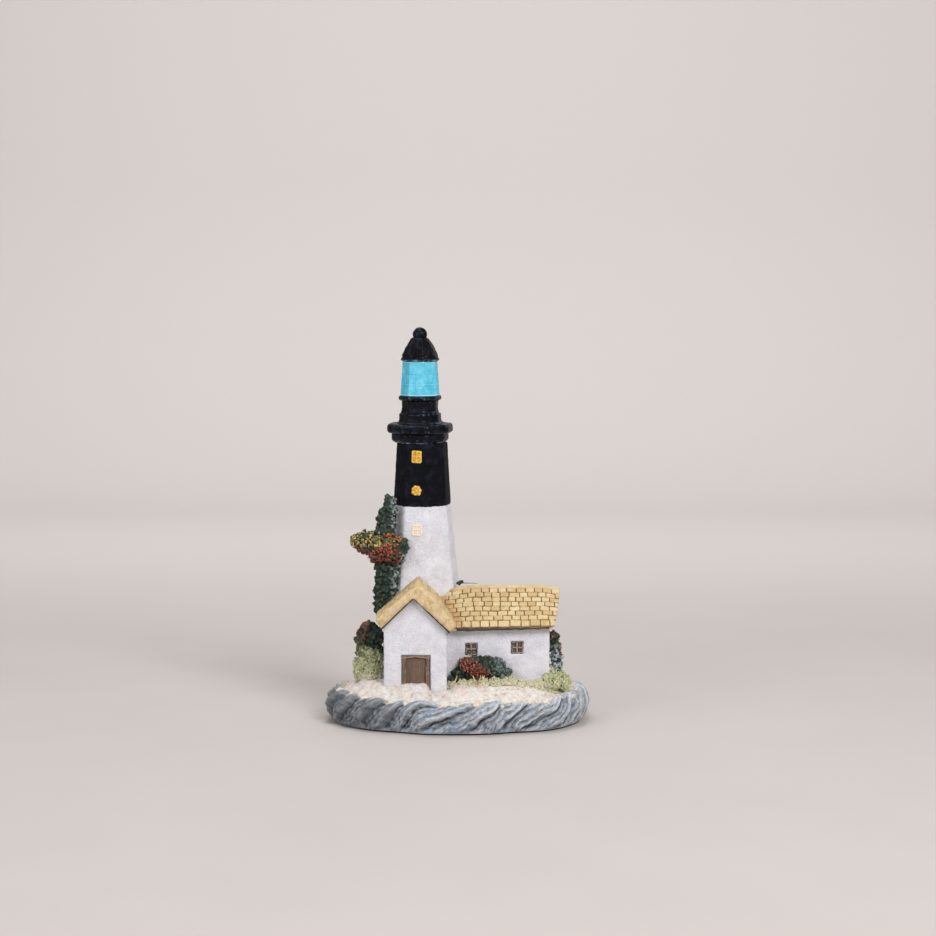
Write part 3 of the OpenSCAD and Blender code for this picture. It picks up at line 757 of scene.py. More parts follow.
def ground_height(x, y):
    """Height of the sand: banked up left of the door and along the wing, falling to the rock's crest."""
    a = np.arctan2(y, x)
    edge = crest_height(a) - 0.8
    q = np.hypot(x, y) / (rim_radius(a) * POCKET)
    reach = np.maximum(step_up(-y, 3, 9), step_up(-x, 20, 26) * step_up(-y, -8, -2))
    door_bank = 1.9 * step_up(-x, 6.0, 11.5) * reach
    wing_bank = (1.2 + 0.7 * step_up(y, -16, -11)) * step_up(x, -3.5, 1) * step_up(-y, -2, 3)
    inside = GROUND_Z - 0.1 + door_bank + wing_bank
    start = 0.72 + 0.14 * step_up(-x, 7, 10) + 0.1 * step_up(x, 18, 26)
    start = np.maximum(start, 0.72 + 0.14 * step_up(y, 4, 14))
    return inside + (edge - inside) * np.clip((q - start) / (1 - start), 0, 1) ** 1.05


def grass_share(x, y):
    """How far the ground is brushed green: along the wing, at its end, and left of the entrance."""
    along = step_up(x, -4, 0) * step_up(-y, 8, 11) * step_up(y, -16.5, -12.5)
    right = step_up(x, 22, 27) * step_up(y, -16, -11)
    left = step_up(-x, 20, 23.5) * step_up(y, -9, -5) * step_up(x, -32, -28.5)
    return np.clip(along + right + left + 0.9 * step_up(y, 9, 15), 0, 1)


def sand_ground(paint):
    rows, foot_z = 100, 5.2
    a = turns(520)
    rim = rim_radius(a) * 0.885
    rings, grass = [ring(rim * 0.9, a, foot_z)], [0 * a]
    for k in range(rows):
        t = 1 - (k / rows) ** 1.1
        flat = ring(rim * t, a, 0)
        x, y = flat[:, 0], flat[:, 1]
        z = ground_height(x, y) + 0.38 * rough(flat, 3.4, 3, 31) + 0.36 * rough(flat, 1.1, 3, 33)
        rings.append(ring(rim * t, a, z - 1.4 * step_up(t, 0.97, 1.0)))
        grass.append(grass_share(x, y))
    mesh = skin(rings)
    add_values(mesh, "grass", np.concatenate(grass))
    add_relief(mesh, 0.25, 24)
    add_piece(mesh, paint, "sand_paint", "sand_ground")


def felt_pad():
    low, high = span_z("felt_pad")
    a = turns(240)
    rim = rim_radius(a) * 0.92
    levels = ((0.5, low), (0.985, low), (1.0, low + 0.15), (1.0, high - 0.05), (0.985, high), (0.5, high))
    rings = [ring(rim * share + 0.08 * rough(ring(rim, a, z), 0.7, 2, 3), a, z) for share, z in levels]
    add_piece(skin(rings), felt_paint(), "felt", "felt_pad")


# ---------------------------------------------------------------- tower
def half_width(node):
    low, high = box_mm(node)
    return (high.x - low.x) / 2


def corner_radius(node):
    """Corner radius of a CAD octagon, whose widest corner stands TOWER_TURN off the X axis."""
    return half_width(node) * (1 / math.cos(TOWER_TURN))


SHAFT_X = TOWER.x + 0.35     # the shaft leans a little to the right of the stages above it
HEAD_X = TOWER.x - 0.25
BAND_Z = span_z("tower_lower_shaft")[1]
BAND_R = corner_radius("tower_upper_shaft")
NECK_Z = span_z("tower_upper_shaft")[1]
NECK_R = BAND_R - 1.0
WAIST_Z, WAIST_R = 46, 10.2
SHOULDER_Z, SHOULDER_R = 37, 11.35
CORBEL_R, GALLERY_R, WATCH_R, SERVICE_R, SILL_R = 8.5, 9.85, 6.3, 5.5, 6.45
SERVICE_HALF = (span_z("service_room")[1] - span_z("watch_room")[1]) / 2

# The black stages: (corner radius, height over the foot) up from it, (radius, depth under the top) to it.
STAGES = (
    ("tower_corbel", [(NECK_R, 0), (CORBEL_R - 0.55, 0.35), (CORBEL_R, 0.9)], [(CORBEL_R + 0.05, 0)]),
    ("gallery_deck", [(CORBEL_R, 0), (GALLERY_R - 0.45, 0.25), (GALLERY_R, 0.7)],
     [(GALLERY_R - 0.05, 0.55), (GALLERY_R - 0.5, 0.08), (WATCH_R + 0.6, 0)]),
    ("watch_room", [(WATCH_R + 1.0, 0), (WATCH_R + 0.15, 0.6), (WATCH_R, 1.2)],
     [(WATCH_R, 0.35), (WATCH_R - 0.4, 0)]),
    ("service_room", [(SERVICE_R + 0.35, 0), (SERVICE_R, 0.6), (SERVICE_R - 0.1, SERVICE_HALF)],
     [(SERVICE_R, 0.3), (SERVICE_R + 0.1, 0)]),
    ("lantern_sill", [(SERVICE_R + 0.1, 0), (SILL_R - 0.25, 0.3), (SILL_R, 0.65)],
     [(SILL_R - 0.15, 0.15), (SILL_R - 0.7, 0)]),
)


def facet_radius(angle, sharp):
    """Radius of a rounded octagon whose flats are 1 from the axis; sharp sets how tight its corners are."""
    flats = [TOWER_TURN + math.pi / 8 + k * math.pi / 4 for k in range(8)]
    total = sum(np.maximum(0, np.cos(angle - flat)) ** sharp for flat in flats)
    return (total / 2) ** (-1 / sharp)


def even_profile(stations, spacing, soft):
    """Points every spacing mm along a profile of (corner radius, z) stations, with softened corners."""
    points = []
    for (r0, z0), (r1, z1) in zip(stations, stations[1:]):
        count = max(1, round(math.hypot(r1 - r0, z1 - z0) / spacing))
        points += [(r0 + (r1 - r0) * i / count, z0 + (z1 - z0) * i / count) for i in range(count)]
    p = np.array(points + [stations[-1]])
    for _ in range(soft):
        p[1:-1] = 0.5 * p[1:-1] + 0.25 * (p[:-2] + p[2:])
    return p


def tower_skin(stations, x, seed, spacing=0.2, sharp=60, columns=256, wobble=0.1, cast=0.1, weave=0):
    """Eight-sided turned form about an upright axis at x, with a hand-made wobble and a cast grain."""
    a = turns(columns)
    shape = facet_radius(a, sharp)
    rings = []
    for r, z in even_profile(stations, spacing, 2):
        radius = max(r, 0.02) * OCT_FLAT * shape
        flat = ring(radius, a, z)
        share = min(1.0, r / 3)
        cross = np.sin(7 * (r * a + z)) * np.sin(7 * (r * a - z)) if weave else 0
        radius = radius + share * (wobble * rough(flat, 5, 2, seed) + cast * rough(flat, 0.6, 3, seed + 3))
        radius = radius + share * weave * cross * (0.6 + 0.6 * rough(flat, 1.5, 2, seed + 5))
        up = share * 0.5 * wobble * rough(flat, 3, 2, seed + 7)
        rings.append(ring(radius, a, z + up, x, TOWER.y))
    return skin(rings)


def shaft_corner_r(z):
    if z > BAND_Z:
        return BAND_R + (NECK_R - BAND_R) * ((z - BAND_Z) / (NECK_Z - BAND_Z))
    return WAIST_R + (BAND_R - WAIST_R) * (z - WAIST_Z) / (BAND_Z - WAIST_Z)


def tower(white, black_matte, black_gloss):
    foot_z, foot_r = GROUND_Z - 1.5, corner_radius("tower_lower_shaft")
    stations = [
        (0, foot_z), (foot_r, foot_z), (SHOULDER_R, SHOULDER_Z), (WAIST_R, WAIST_Z), (BAND_R, BAND_Z - 0.05),
        (BAND_R - 0.1, BAND_Z), (0, BAND_Z)]
    mesh = tower_skin(stations, SHAFT_X, 2, 0.25, columns=340, wobble=0.13)
    add_relief(mesh, 0.12, 12)
    add_piece(mesh, white, "white_stucco", "tower_lower_shaft")
    stations = [(0, BAND_Z), (BAND_R + 0.04, BAND_Z), (NECK_R, NECK_Z), (0, NECK_Z)]
    mesh = tower_skin(stations, SHAFT_X, 5, columns=360, weave=0.07)
    add_relief(mesh, 0.12, 12)
    add_piece(mesh, black_matte, "black_stucco", "tower_upper_shaft")
    low = NECK_Z
    for seed, (name, rising, closing) in enumerate(STAGES, 11):
        high = span_z(name)[1]
        stations = [(r, low + up) for r, up in [(0, 0)] + rising]
        stations += [(r, high - down) for r, down in closing]
        mesh = tower_skin(stations + [(0, high)], HEAD_X, seed, sharp=26, wobble=0.14, cast=0.08)
        add_relief(mesh, 0.1, 12)
        # Painted highlight along the stages' lower edges.
        add_values(mesh, "wear_and_glint", edge_glints(points_of(mesh), name))
        add_piece(mesh, black_gloss, "black_gloss", name)
        low = high


def edge_glints(p, name):
    """Painted highlight: pale glints along the lower edge of the corbel, and fainter ones along the lower
    edges of the other stages on their lit right-hand side.
    """
    low = p[:, 2].min()
    foot = 1 - step_up(p[:, 2], low + 0.2, low + 0.7)
    return foot if name == "tower_corbel" else 0.35 * foot * step_up(p[:, 0], TOWER.x + 2, TOWER.x + 5)


def lantern(paint):
    """Blue glazing with the outlines of three rows of panes cut into each facet."""
    low, high = span_z("lantern_bars")
    foot_r, taper, hub_r, rows = corner_radius("lantern_bars"), 0.7, 1.0, 70
    a = turns(400)
    shape = facet_radius(a, 90)
    local = (a - TOWER_TURN) / (math.pi / 4)
    across = local - np.floor(local)
    pane_levels = np.array([low, low + 0.32 * (high - low), low + 0.66 * (high - low), high])
    rings = [ring(hub_r, a, low, HEAD_X, TOWER.y)]
    for k in range(rows + 1):
        z, r = low + (high - low) * k / rows, foot_r - taper * k / rows
        facet_width = 2 * r * math.sin(math.pi / 8)
        gap = np.abs(across[:, None] - np.array([0.0, 0.5, 1.0])).min(axis=1) * facet_width - 0.3
        border = np.minimum(gap, np.abs(pane_levels - z).min() - 0.4)
        flat = ring(r, a, z)
        clear = (0.35 if z > pane_levels[2] else 1.0) * (0.75 + 0.5 * rough(flat, 2.2, 2, 43))
        depth = 0.16 * np.exp(-(border / 0.15) ** 2) + 0.06 * step_up(border, 0, 0.2)
        radius = r * OCT_FLAT * shape - clear * depth + 0.05 * rough(flat, 1.6, 3, 41)
        rings.append(ring(radius, a, z, HEAD_X, TOWER.y))
    mesh = skin(rings + [ring(hub_r, a, high, HEAD_X, TOWER.y)])
    add_relief(mesh, 0.16, 10)
    add_piece(mesh, paint, "lantern_blue", "lantern_core", "lantern_bars", name="lantern_glazing_visual")


def dome_profile(low, rim_r):
    """Bell curve from the flared rim up to the ball's seat."""
    rim = [(0, low), (rim_r - 0.7, low), (rim_r, low + 0.35), (rim_r, low + 0.75), (rim_r - 0.4, low + 1.15)]
    climb = [5.3 * k / 11 for k in range(12)]
    bell = [(rim_r - 0.6 - 0.33 * h - 0.035 * h * h, low + 1.5 + h) for h in climb]
    return rim + bell + [(1.6, low + 7.15), (0, low + 7.25)]


def dome(paint):
    """Eight-ribbed bell roof over the lantern."""
    low = span_z("lantern_bars")[1]
    a = turns(300)
    octagon = facet_radius(a, 22) * 0.955
    nearest = np.mod(a - TOWER_TURN + math.pi / 8, math.pi / 4) - math.pi / 8
    rings = []
    for r, z in even_profile(dome_profile(low, half_width("lantern_dome")), 0.18, 3):
        share = min(1.0, r / 3)
        blend = step_up((z - low) / 7, 0.12, 0.3)
        rib = 0.16 * np.exp(-(nearest * r / 0.4) ** 2)
        flat = ring(r, a, z)
        lumps = 0.2 * rough(flat, 1.7, 3, 51) + 0.06 * rough(flat, 0.6, 2, 52)
        radius = max(r, 0.02) * (1 + (octagon - 1) * blend) + share * (rib * blend + lumps)
        rings.append(ring(radius, a, z + share * 0.14 * rough(flat, 2.5, 2, 53), HEAD_X, TOWER.y))
    mesh = skin(rings)
    add_relief(mesh, 0.13, 10)
    # Real pale blue paint along the lower edge of the dome's rim.
    add_values(mesh, "wear_and_glint", 1 - step_up(points_of(mesh)[:, 2], low + 0.35, low + 0.7))
    add_piece(mesh, paint, "black_gloss", "lantern_dome")


def ball(paint):
    """Knobbly ball finial on a short neck."""
    r, foot = half_width("ball_finial"), span_z("lantern_dome")[1]
    top = span_z("ball_finial")[1]
    shells = [
        ball_shell((HEAD_X, TOWER.y, top - r), r + 0.02, 16, 24),
        rod_shell([(HEAD_X, TOWER.y, foot - 0.3), (HEAD_X, TOWER.y, foot + 0.9)], [1.9, 1.7], 20)]
    mesh = sculpted(shells, 0.14, 2, grain(0.16, 1.1, 3, 61), (0.1, 12))
    add_piece(mesh, paint, "black_gloss", "ball_finial")


def facet_frame(z):
    """Centre, and the across, up and outward directions, on the tower's front facet at height z."""
    out = Vector((math.cos(FRONT_FACET), math.sin(FRONT_FACET), 0))
    across = Vector((-out.y, out.x, 0))
    centre = Vector((SHAFT_X, TOWER.y, z)) + out * (shaft_corner_r(z) * OCT_FLAT + 0.08)
    slope = (shaft_corner_r(z + 1) - shaft_corner_r(z - 1)) / 2 * OCT_FLAT
    return centre, across, (Vector((0, 0, 1)) + out * slope).normalized(), out


def on_facet(z, x, h, depth):
    """Point x across, h up and depth out from the window centre at height z."""
    centre, across, up, out = facet_frame(z)
    return centre + across * x + up * h + out * depth


def placed(shell, place, turn, scale):
    """The shell scaled along its own axes, then turned and moved to its place."""
    verts, faces = shell
    return [tuple(place + turn @ Vector(v)) for v in verts * scale], faces


def facet_ball(z, x, h, radius, squash):
    """Flattened ball that lies on the front facet."""
    turn = Matrix(facet_frame(z)[1:]).transposed()
    return placed(ball_shell((0, 0, 0), radius, 8, 14), on_facet(z, x, h, 0.05), turn, (1, 1, squash))


def facet_bar(z, x0, h0, x1, h1, radius):
    return rod_shell([on_facet(z, x0, h0, 0.06), on_facet(z, x1, h1, 0.06)], [radius, radius], 10)


def sash_shells(z, w, h, bar, offset=0.0):
    """Panes between rounded bars, a little out of true."""
    panes = [(offset + x, k) for x in (-w / 4, w / 4) for k in (-h / 4, h / 4)]
    shells = [facet_ball(z, x, k, w / 4 + 0.25, 0.16) for x, k in panes]
    for x in (-w / 2, 0.05, w / 2):
        shells.append(facet_bar(z, offset + x, -h / 2, offset + x * 0.92, h / 2, bar))
    for k in (-h / 2, 0.15, h / 2):
        shells.append(facet_bar(z, offset - w / 2, k, offset + w / 2, k - 0.1, bar))
    return shells


def blot_shells(z, pitch):
    """A window so thickly painted that its panes and bars read as a cluster of round dabs."""
    rng = random.Random(9)
    shells = [facet_ball(z, 0, 0, pitch * 1.3, 0.16), facet_ball(z, 0, 0.05, pitch * 0.5, 0.8)]
    for k in range(7):
        a, reach = (k + rng.uniform(-0.15, 0.15)) * 2 * math.pi / 7, pitch * rng.uniform(0.88, 1.02)
        x, h = reach * math.cos(a), reach * math.sin(a)
        shells.append(facet_ball(z, x, h, pitch * rng.uniform(0.42, 0.54), 0.75))
    return shells


def tower_windows():
    gold = washed_paint(
        "gold_paint", (58, 34, 10), (150, 98, 24), (226, 170, 42), (250, 222, 128), (238, 190, 60),
        0.45, 0.3, 0.04)
    cream = washed_paint(
        "cream_paint", (214, 182, 122), (226, 206, 166), (230, 218, 200), (228, 222, 220), (228, 214, 190),
        0.6, 0.3, 0.04)
    top, centre, bottom = [middle("tower_window_" + level).z for level in ("top", "middle", "bottom")]
    for level, paint, slot, shells, seed in (
            ("top", gold, "window_gold", sash_shells(top, 2.6, 3.1, 0.29), 72),
            ("middle", gold, "window_gold", blot_shells(centre - 0.1, 1.15), 73),
            ("bottom", cream, "window_cream", sash_shells(bottom, 2.7, 2.9, 0.26, 0.35), 74)):
        mesh = sculpted(shells, 0.12, 2, grain(0.06, 0.6, 2, seed), (0.12, 8))
        add_piece(mesh, paint, slot, "tower_window_" + level)


# ---------------------------------------------------------------- cottage
ROOF_APEX, ROOF_INNER_APEX = (-11.7, 42.4), (-12.8, 38.2)       # (x, z) points of the gable roof's front
ROOF_LEFT_OUTER, ROOF_LEFT_INNER = (-23.7, 32.1), (-22.1, 29.3)
ROOF_RIGHT_KINK = (-6.5, 37.9)
ROOF_RIGHT_OUTER, ROOF_RIGHT_INNER = (-0.5, 29.7), (-2.3, 28.2)
GABLE_EAVES = (29.8, 30.6)      # heights of the gable walls' left and right corners
RIDGE_Y = (DECK_LOW.y + DECK_HIGH.y) / 2
RIDGE_Z = DECK_HIGH.z
DECK_T = 0.9
EAVE_Z = DECK_LOW.z + DECK_T
SLOPE_RUN = RIDGE_Y - DECK_LOW.y
SLOPE_RISE = RIDGE_Z - EAVE_Z
SLOPE = math.atan2(SLOPE_RISE, SLOPE_RUN)
SLOPE_LEN = math.hypot(SLOPE_RUN, SLOPE_RISE)
LEAF_LEFT, LEAF_RIGHT = DOOR_LOW.x + 1.1, DOOR_HIGH.x - 1.1


def carve(mesh, low, high, depth, edge=0.25):
    """Press a rectangle of a wall that faces -Y inwards by depth, with slightly sloped sides."""
    p = points_of(mesh)
    facing = normals_of(mesh)[:, 1] < -0.5
    inside = np.minimum.reduce([p[:, 0] - low[0], high[0] - p[:, 0], p[:, 2] - low[1], high[1] - p[:, 2]])
    p[:, 1] += np.where(facing, depth * step_up(inside, -edge / 2, edge / 2), 0)
    move_points(mesh, p)


def walls(node, prism, voxel, seed, white, depth, *openings):
    """Stuccoed walls with their openings sunk in by depth."""
    mesh = sculpted(
        [prism], voxel, 4, lambda p: 0.12 * rough(p, 6, 2, seed) + 0.1 * rough(p, 0.9, 3, seed + 1))
    for opening in openings:
        carve(mesh, *opening, depth)
    add_relief(mesh, 0.12, 14)
    add_piece(mesh, white, "white_stucco", node)


def gable_walls(white):
    left, right, foot = GABLE_LOW.x, GABLE_HIGH.x, GROUND_Z - 2
    outline = [
        (left, foot), (right, foot), (right, GABLE_EAVES[1]), (ROOF_INNER_APEX[0], ROOF_INNER_APEX[1] + 1),
        (left, GABLE_EAVES[0])]
    door = (DOOR_LOW.x, 0), (DOOR_HIGH.x, DOOR_HIGH.z)
    walls("gable_walls", prism_shell(outline, GABLE_LOW.y, 2, "y"), 0.24, 81, white, 1.3, door)


def wing_walls(white):
    front, back, foot = WING_LOW.y, WING_HIGH.y, GROUND_Z - 2
    outline = [(front, foot), (back, foot), (back, EAVE_Z), (RIDGE_Y, RIDGE_Z - 1.2), (front, EAVE_Z)]
    boxes = box_mm("wing_window_left"), box_mm("wing_window_right")
    windows = [((low.x, low.z), (high.x, high.z)) for low, high in boxes]
    prism = prism_shell(outline, WING_LOW.x - 0.5, WING_HIGH.x, "x")
    walls("wing_walls", prism, 0.26, 85, white, 0.7, *windows)


def roof_outline(inset):
    """Front outline of the gable roof, its outer edge drawn in by inset."""
    moved = (
        (ROOF_RIGHT_OUTER, -1, -0.3), (ROOF_RIGHT_KINK, -0.8, -0.8), (ROOF_APEX, 0, -1.4),
        (ROOF_LEFT_OUTER, 0.8, -0.5))
    outer = [(x + dx * inset, z + dz * inset) for (x, z), dx, dz in moved]
    return [ROOF_LEFT_INNER, ROOF_INNER_APEX, ROOF_RIGHT_INNER] + outer


def gable_roof(paint):
    front = GABLE_ROOF_LOW.y
    layers = ((0.6, 0, front + 1.6), (0.2, 0.4, front + 2.0), (0, 1.2, GABLE_ROOF_HIGH.y))
    shells = [prism_shell(roof_outline(inset), front + start, end, "y") for inset, start, end in layers]
    mesh = sculpted(shells, 0.28, 6, lambda p: 0.2 * rough(p, 2.6, 3, 91) + 0.06 * rough(p, 0.7, 2, 93))
    p = points_of(mesh)
    add_values(mesh, "shade", step_up(p[:, 1], front + 0.2, front + 1.4) * step_up(-p[:, 0], 12, 15))
    add_relief(mesh, 0.16, 16)
    add_piece(mesh, paint, "roof_tan", "gable_roof")


def rounded_block(low, high, radius):
    """Closed block with rounded edges, with enough points to take a displacement."""
    low, high = np.array(low, float), np.array(high, float)
    half = (high - low) / 2
    radius = min(radius, *(half * 0.98))
    core = half - radius
    stops = [(-h, -c - 0.45 * radius, -c, 0, c, c + 0.45 * radius, h) for h, c in zip(half, core)]
    index, faces, last = {}, [], 6
    for u, v, side in ((u, v, side) for u in range(last) for v in range(last) for side in (0, last)):
        for quad in (
                [(side, u, v), (side, u + 1, v), (side, u + 1, v + 1), (side, u, v + 1)],
                [(u, side, v), (u, side, v + 1), (u + 1, side, v + 1), (u + 1, side, v)],
                [(u, v, side), (u + 1, v, side), (u + 1, v + 1, side), (u, v + 1, side)]):
            face = [index.setdefault(corner, len(index)) for corner in quad]
            faces.append(tuple(face if side else reversed(face)))
    p = np.array([[stops[n][i] for n, i in enumerate(corner)] for corner in index])
    inner = np.clip(p, -core, core)
    away = p - inner
    size = np.maximum(np.linalg.norm(away, axis=1, keepdims=True), 1e-9)
    return (low + high) / 2 + inner + away / size * radius, faces


def laid(low, high, radius, place, flip):
    """Rounded block with corners in (across, down, up) laid on a roof by place(across, down, up)."""
    verts, faces = rounded_block(low, high, radius)
    shell = np.array([place(*v) for v in verts]), faces
    return turned_over(shell) if flip else shell


def loose(shells, name, values, depth):
    """Separate shells as one mesh, with a value for each shell."""
    mesh = make_mesh(*joined(shells))
    add_values(mesh, name, np.repeat(values, [len(verts) for verts, _ in shells]))
    displaced(mesh, depth)
    return mesh


def gable_slope_frame(a, b):
    """Length of the gable roof's slope from a to b, and its place(run along Y, down, up, lift)."""
    down = Vector((b[0] - a[0], 0, b[1] - a[1]))
    length = down.length
    down.normalize()
    out = Vector((0, -1, 0)).cross(down)
    if out.z < 0:
        out = -out
    start = Vector((a[0], 0, a[1]))

    def place(run, d, up, lift):
        return tuple(start + down * d + out * (up + (lift if up > 0 else 0)) + Vector((0, run, 0)))
    return length, place


def gable_shingles(paint):
    """Shingles on the two slopes of the gable roof, behind its smooth front edge."""
    rng = random.Random(17)
    shells, shades = [], []
    right = ROOF_RIGHT_KINK
    for a, b in ((ROOF_APEX, ROOF_LEFT_OUTER), (ROOF_APEX, right), (right, ROOF_RIGHT_OUTER)):
        length, place = gable_slope_frame(a, b)
        count = max(2, round(length / 1.75))
        for row in range(count):
            top, bottom = length * row / count + 0.12, length * (row + 1) / count - 0.08
            y = GABLE_ROOF_LOW.y + 5.0 + (row % 2) * TILE_W / 2 + rng.uniform(0, 0.3)
            while y < GABLE_ROOF_HIGH.y - 1.0:
                y1 = min(y + TILE_W * rng.uniform(0.85, 1.12), GABLE_ROOF_HIGH.y)
                lift = rng.uniform(-0.05, 0.05)
                low, high = (y + 0.11, top, -0.35), (y1 - 0.11, bottom, 0.14)
                shells.append(laid(low, high, 0.16, lambda *p: place(*p, lift), b[0] > a[0]))
                shades.append(rng.random())
                y = y1
    mesh = loose(shells, "shade", shades, grain(0.07, 1.1, 3, 123))
    add_values(mesh, "relief", 0.75)
    add_piece(mesh, paint, "roof_tan", "gable_roof", name="gable_shingles_visual")


def trim_strip(node, paint, seed, paths):
    """Thin painted ridge along each path of (point, radius) stations."""
    shells = [rod_shell([p for p, _ in path], [r for _, r in path], 10) for path in paths]
    mesh = sculpted(shells, 0.13, 2, grain(0.07, 0.9, 2, seed), (0.12, 8))
    add_piece(mesh, paint, "trim_brown", node)


def rake_trim(paint):
    y = GABLE_LOW.y - 0.35 - 0.2
    (x0, z0), paths = ROOF_INNER_APEX, []
    for x1, z1 in (ROOF_LEFT_INNER, ROOF_RIGHT_INNER):
        shares = [k / 8 for k in range(9)]
        paths.append([
            ((x0 + (x1 - x0) * t, y - 0.25 * t, z0 + (z1 - z0) * t - 0.26), 0.18 + 0.1 * t) for t in shares])
    trim_strip("gable_rake_trim", paint, 101, paths)


def eave_trim(paint):
    """Dark line under the lowest shingles, thinning out towards the right: painted shadow under the eave,
    with some brown paint in it.
    """
    low, high = box_mm("wing_eave_trim")
    path = []
    for k in range(17):
        x = low.x + 0.2 + (high.x - 0.3 - low.x) * k / 16
        z = (low.z + high.z) / 2 + 0.08 + eave_rise(x) + 0.08 * math.sin(2.1 * k)
        path.append(((x, low.y + 0.1, z), 0.44 - 0.22 * (k / 16) ** 2 + 0.06 * math.sin(3.7 * k)))
    trim_strip("wing_eave_trim", paint, 103, [path])


def door_leaf(paint):
    """Planks in the recess of the wall."""
    rng = random.Random(5)
    y, top, count = GABLE_LOW.y + 0.95, DOOR_HIGH.z, 11
    pitch = (LEAF_RIGHT - LEAF_LEFT) / count
    shells = []
    for k in range(count):
        x = LEAF_LEFT + (k + 0.5) * pitch
        wander = rng.uniform(-0.06, 0.06)
        path = [(x + wander, y, GROUND_Z + 1.2), (x, y, 16), (x - wander, y, top - 0.9)]
        shells.append(rod_shell(path, [pitch * rng.uniform(0.42, 0.56)] * 3, 10))
    shells.append(box_shell((LEAF_LEFT, y, GROUND_Z + 0.5), (LEAF_RIGHT, y + 0.55, top - 0.6)))
    mesh = sculpted(shells, 0.13, 1, grain(0.05, (0.4, 0.4, 2.4), 2, 111), (0.12, 10))
    add_piece(mesh, paint, "door_brown", "door_leaf")


def door_frame(paint):
    """Double jambs, a lintel and short strokes of paint past the upper corners."""
    left, right, y, top = DOOR_LOW.x, DOOR_HIGH.x, GABLE_LOW.y, DOOR_HIGH.z
    shells = []
    for x, lean, foot, size in ((left + 0.25, 0.15, 11.9, 0.14), (left + 1.0, 0.05, 12.6, 0.2),
                                (right - 1.0, -0.05, 12.6, 0.2), (right - 0.3, -0.2, 10.9, 0.16)):
        path = [(x, y + 0.15, foot), (x + lean, y + 0.1, 16.5), (x + 0.4 * lean, y + 0.15, top - 0.3)]
        shells.append(rod_shell(path, [size, size * 0.85, size], 10))
    for x in (left + 0.35, right - 1.05):
        shells.append(box_shell((x, y + 0.25, GROUND_Z + 1.3), (x + 0.7, y + 0.8, top - 0.7)))
    lintel = [
        (left + 0.7, y + 0.3, top - 0.75), ((LEAF_LEFT + LEAF_RIGHT) / 2, y + 0.25, top - 0.3),
        (right - 0.7, y + 0.3, top - 0.8)]
    shells.append(rod_shell(lintel, [0.22, 0.32, 0.22], 10))
    for side, x in ((-1, left + 0.6), (1, right - 0.6)):
        for k in range(3):
            start = (x - side * (0.5 - 0.1 * k), y + 0.1, top - 1.5 + 0.5 * k)
            end = (x + side * (0.35 + 0.1 * k), y + 0.0, top - 0.6 + 0.4 * k)
            shells.append(rod_shell([start, end], [0.17, 0.1], 8))
    mesh = sculpted(shells, 0.11, 1, grain(0.1, 0.6, 2, 113), (0.12, 8))
    add_piece(mesh, paint, "door_frame_tan", "door_frame")


def doorstep(paint):
    y, z, top = GABLE_LOW.y, GROUND_Z, span_z("doorstep")[1]
    shells = [
        rounded_block((LEAF_LEFT - 0.6, y - 1.0, z - 0.6), (LEAF_RIGHT + 0.3, y + 1.3, top - 0.1), 0.7),
        rounded_block((LEAF_LEFT - 1.8, y - 2.4, z - 0.8), (LEAF_RIGHT + 0.6, y + 0.2, z + 1.5), 0.8),
        rounded_block((LEAF_LEFT - 1.0, y - 1.7, z - 0.8), (LEAF_RIGHT, y + 0.2, z + 1.8), 0.8)]
    mesh = sculpted(shells, 0.2, 4, grain(0.3, 1.7, 3, 115), (0.15, 10))
    add_values(mesh, "grass", 0)
    add_piece(mesh, paint, "sand_paint", "doorstep")


def wing_window(node, paint, seed):
    """Small four-pane sash, rounded at its corners, set in the wall."""
    low, high = box_mm(node)
    c, y = (low + high) / 2, WING_LOW.y + 0.12
    w, h = high.x - low.x - 0.2, high.z - low.z - 0.2
    rng = random.Random(seed)
    back = (c.x - w / 2, y + 0.35, c.z - h / 2), (c.x + w / 2, y + 0.8, c.z + h / 2)
    shells = [rounded_block(*back, 0.2)]
    for x in (-w / 2 + 0.15, 0, w / 2 - 0.15):
        path = [(c.x + x + rng.uniform(-0.08, 0.08), y + 0.1, c.z + k * h / 2) for k in (-1, 0, 1)]
        shells.append(rod_shell(path, [0.26, 0.24, 0.26], 10))
    for z in (-h / 2 + 0.15, 0.05, h / 2 - 0.15):
        path = [(c.x + k * w / 2, y + 0.1, c.z + z + rng.uniform(-0.08, 0.08)) for k in (-1, 0, 1)]
        shells.append(rod_shell(path, [0.26, 0.22, 0.26], 10))
    mesh = sculpted(shells, 0.12, 2, grain(0.05, 0.5, 2, seed))
    p = points_of(mesh)
    reach = np.maximum(np.abs(p[:, 0] - c.x) / w, np.abs(p[:, 2] - c.z) / h)
    add_values(mesh, "edge", step_up(reach + 0.05 * bumps(p, 0.9, seed), 0.4, 0.46))
    add_relief(mesh, 0.16, 10)
    add_piece(mesh, paint, "window_brown", node)


# ---------------------------------------------------------------- shingles
COURSES = 8
EAVE_COURSE = 1.35        # height of the lowest course over that of the others
TILE_W = 2.85
RIDGE_COVER = 0.8


def slope_point(side, x, down, up):
    """Point on the wing's roof: x along, down from the ridge and up from the deck."""
    y = RIDGE_Y + side * (down * math.cos(SLOPE) + up * math.sin(SLOPE))
    return x, y, RIDGE_Z - down * math.sin(SLOPE) + up * math.cos(SLOPE)


def valley_x(z):
    """Where the gable roof's right slope stands at height z."""
    (x0, z0), (x1, z1) = ROOF_RIGHT_OUTER, ROOF_RIGHT_KINK
    return x0 + (x1 - x0) * np.clip((z - z0) / (z1 - z0), 0, 1)


def verge_x(down):
    """Right end of the roof, which leans out towards the ridge."""
    return DECK_HIGH.x + 0.5 - 2.0 * np.clip(down / SLOPE_LEN, 0, 1) ** 1.6


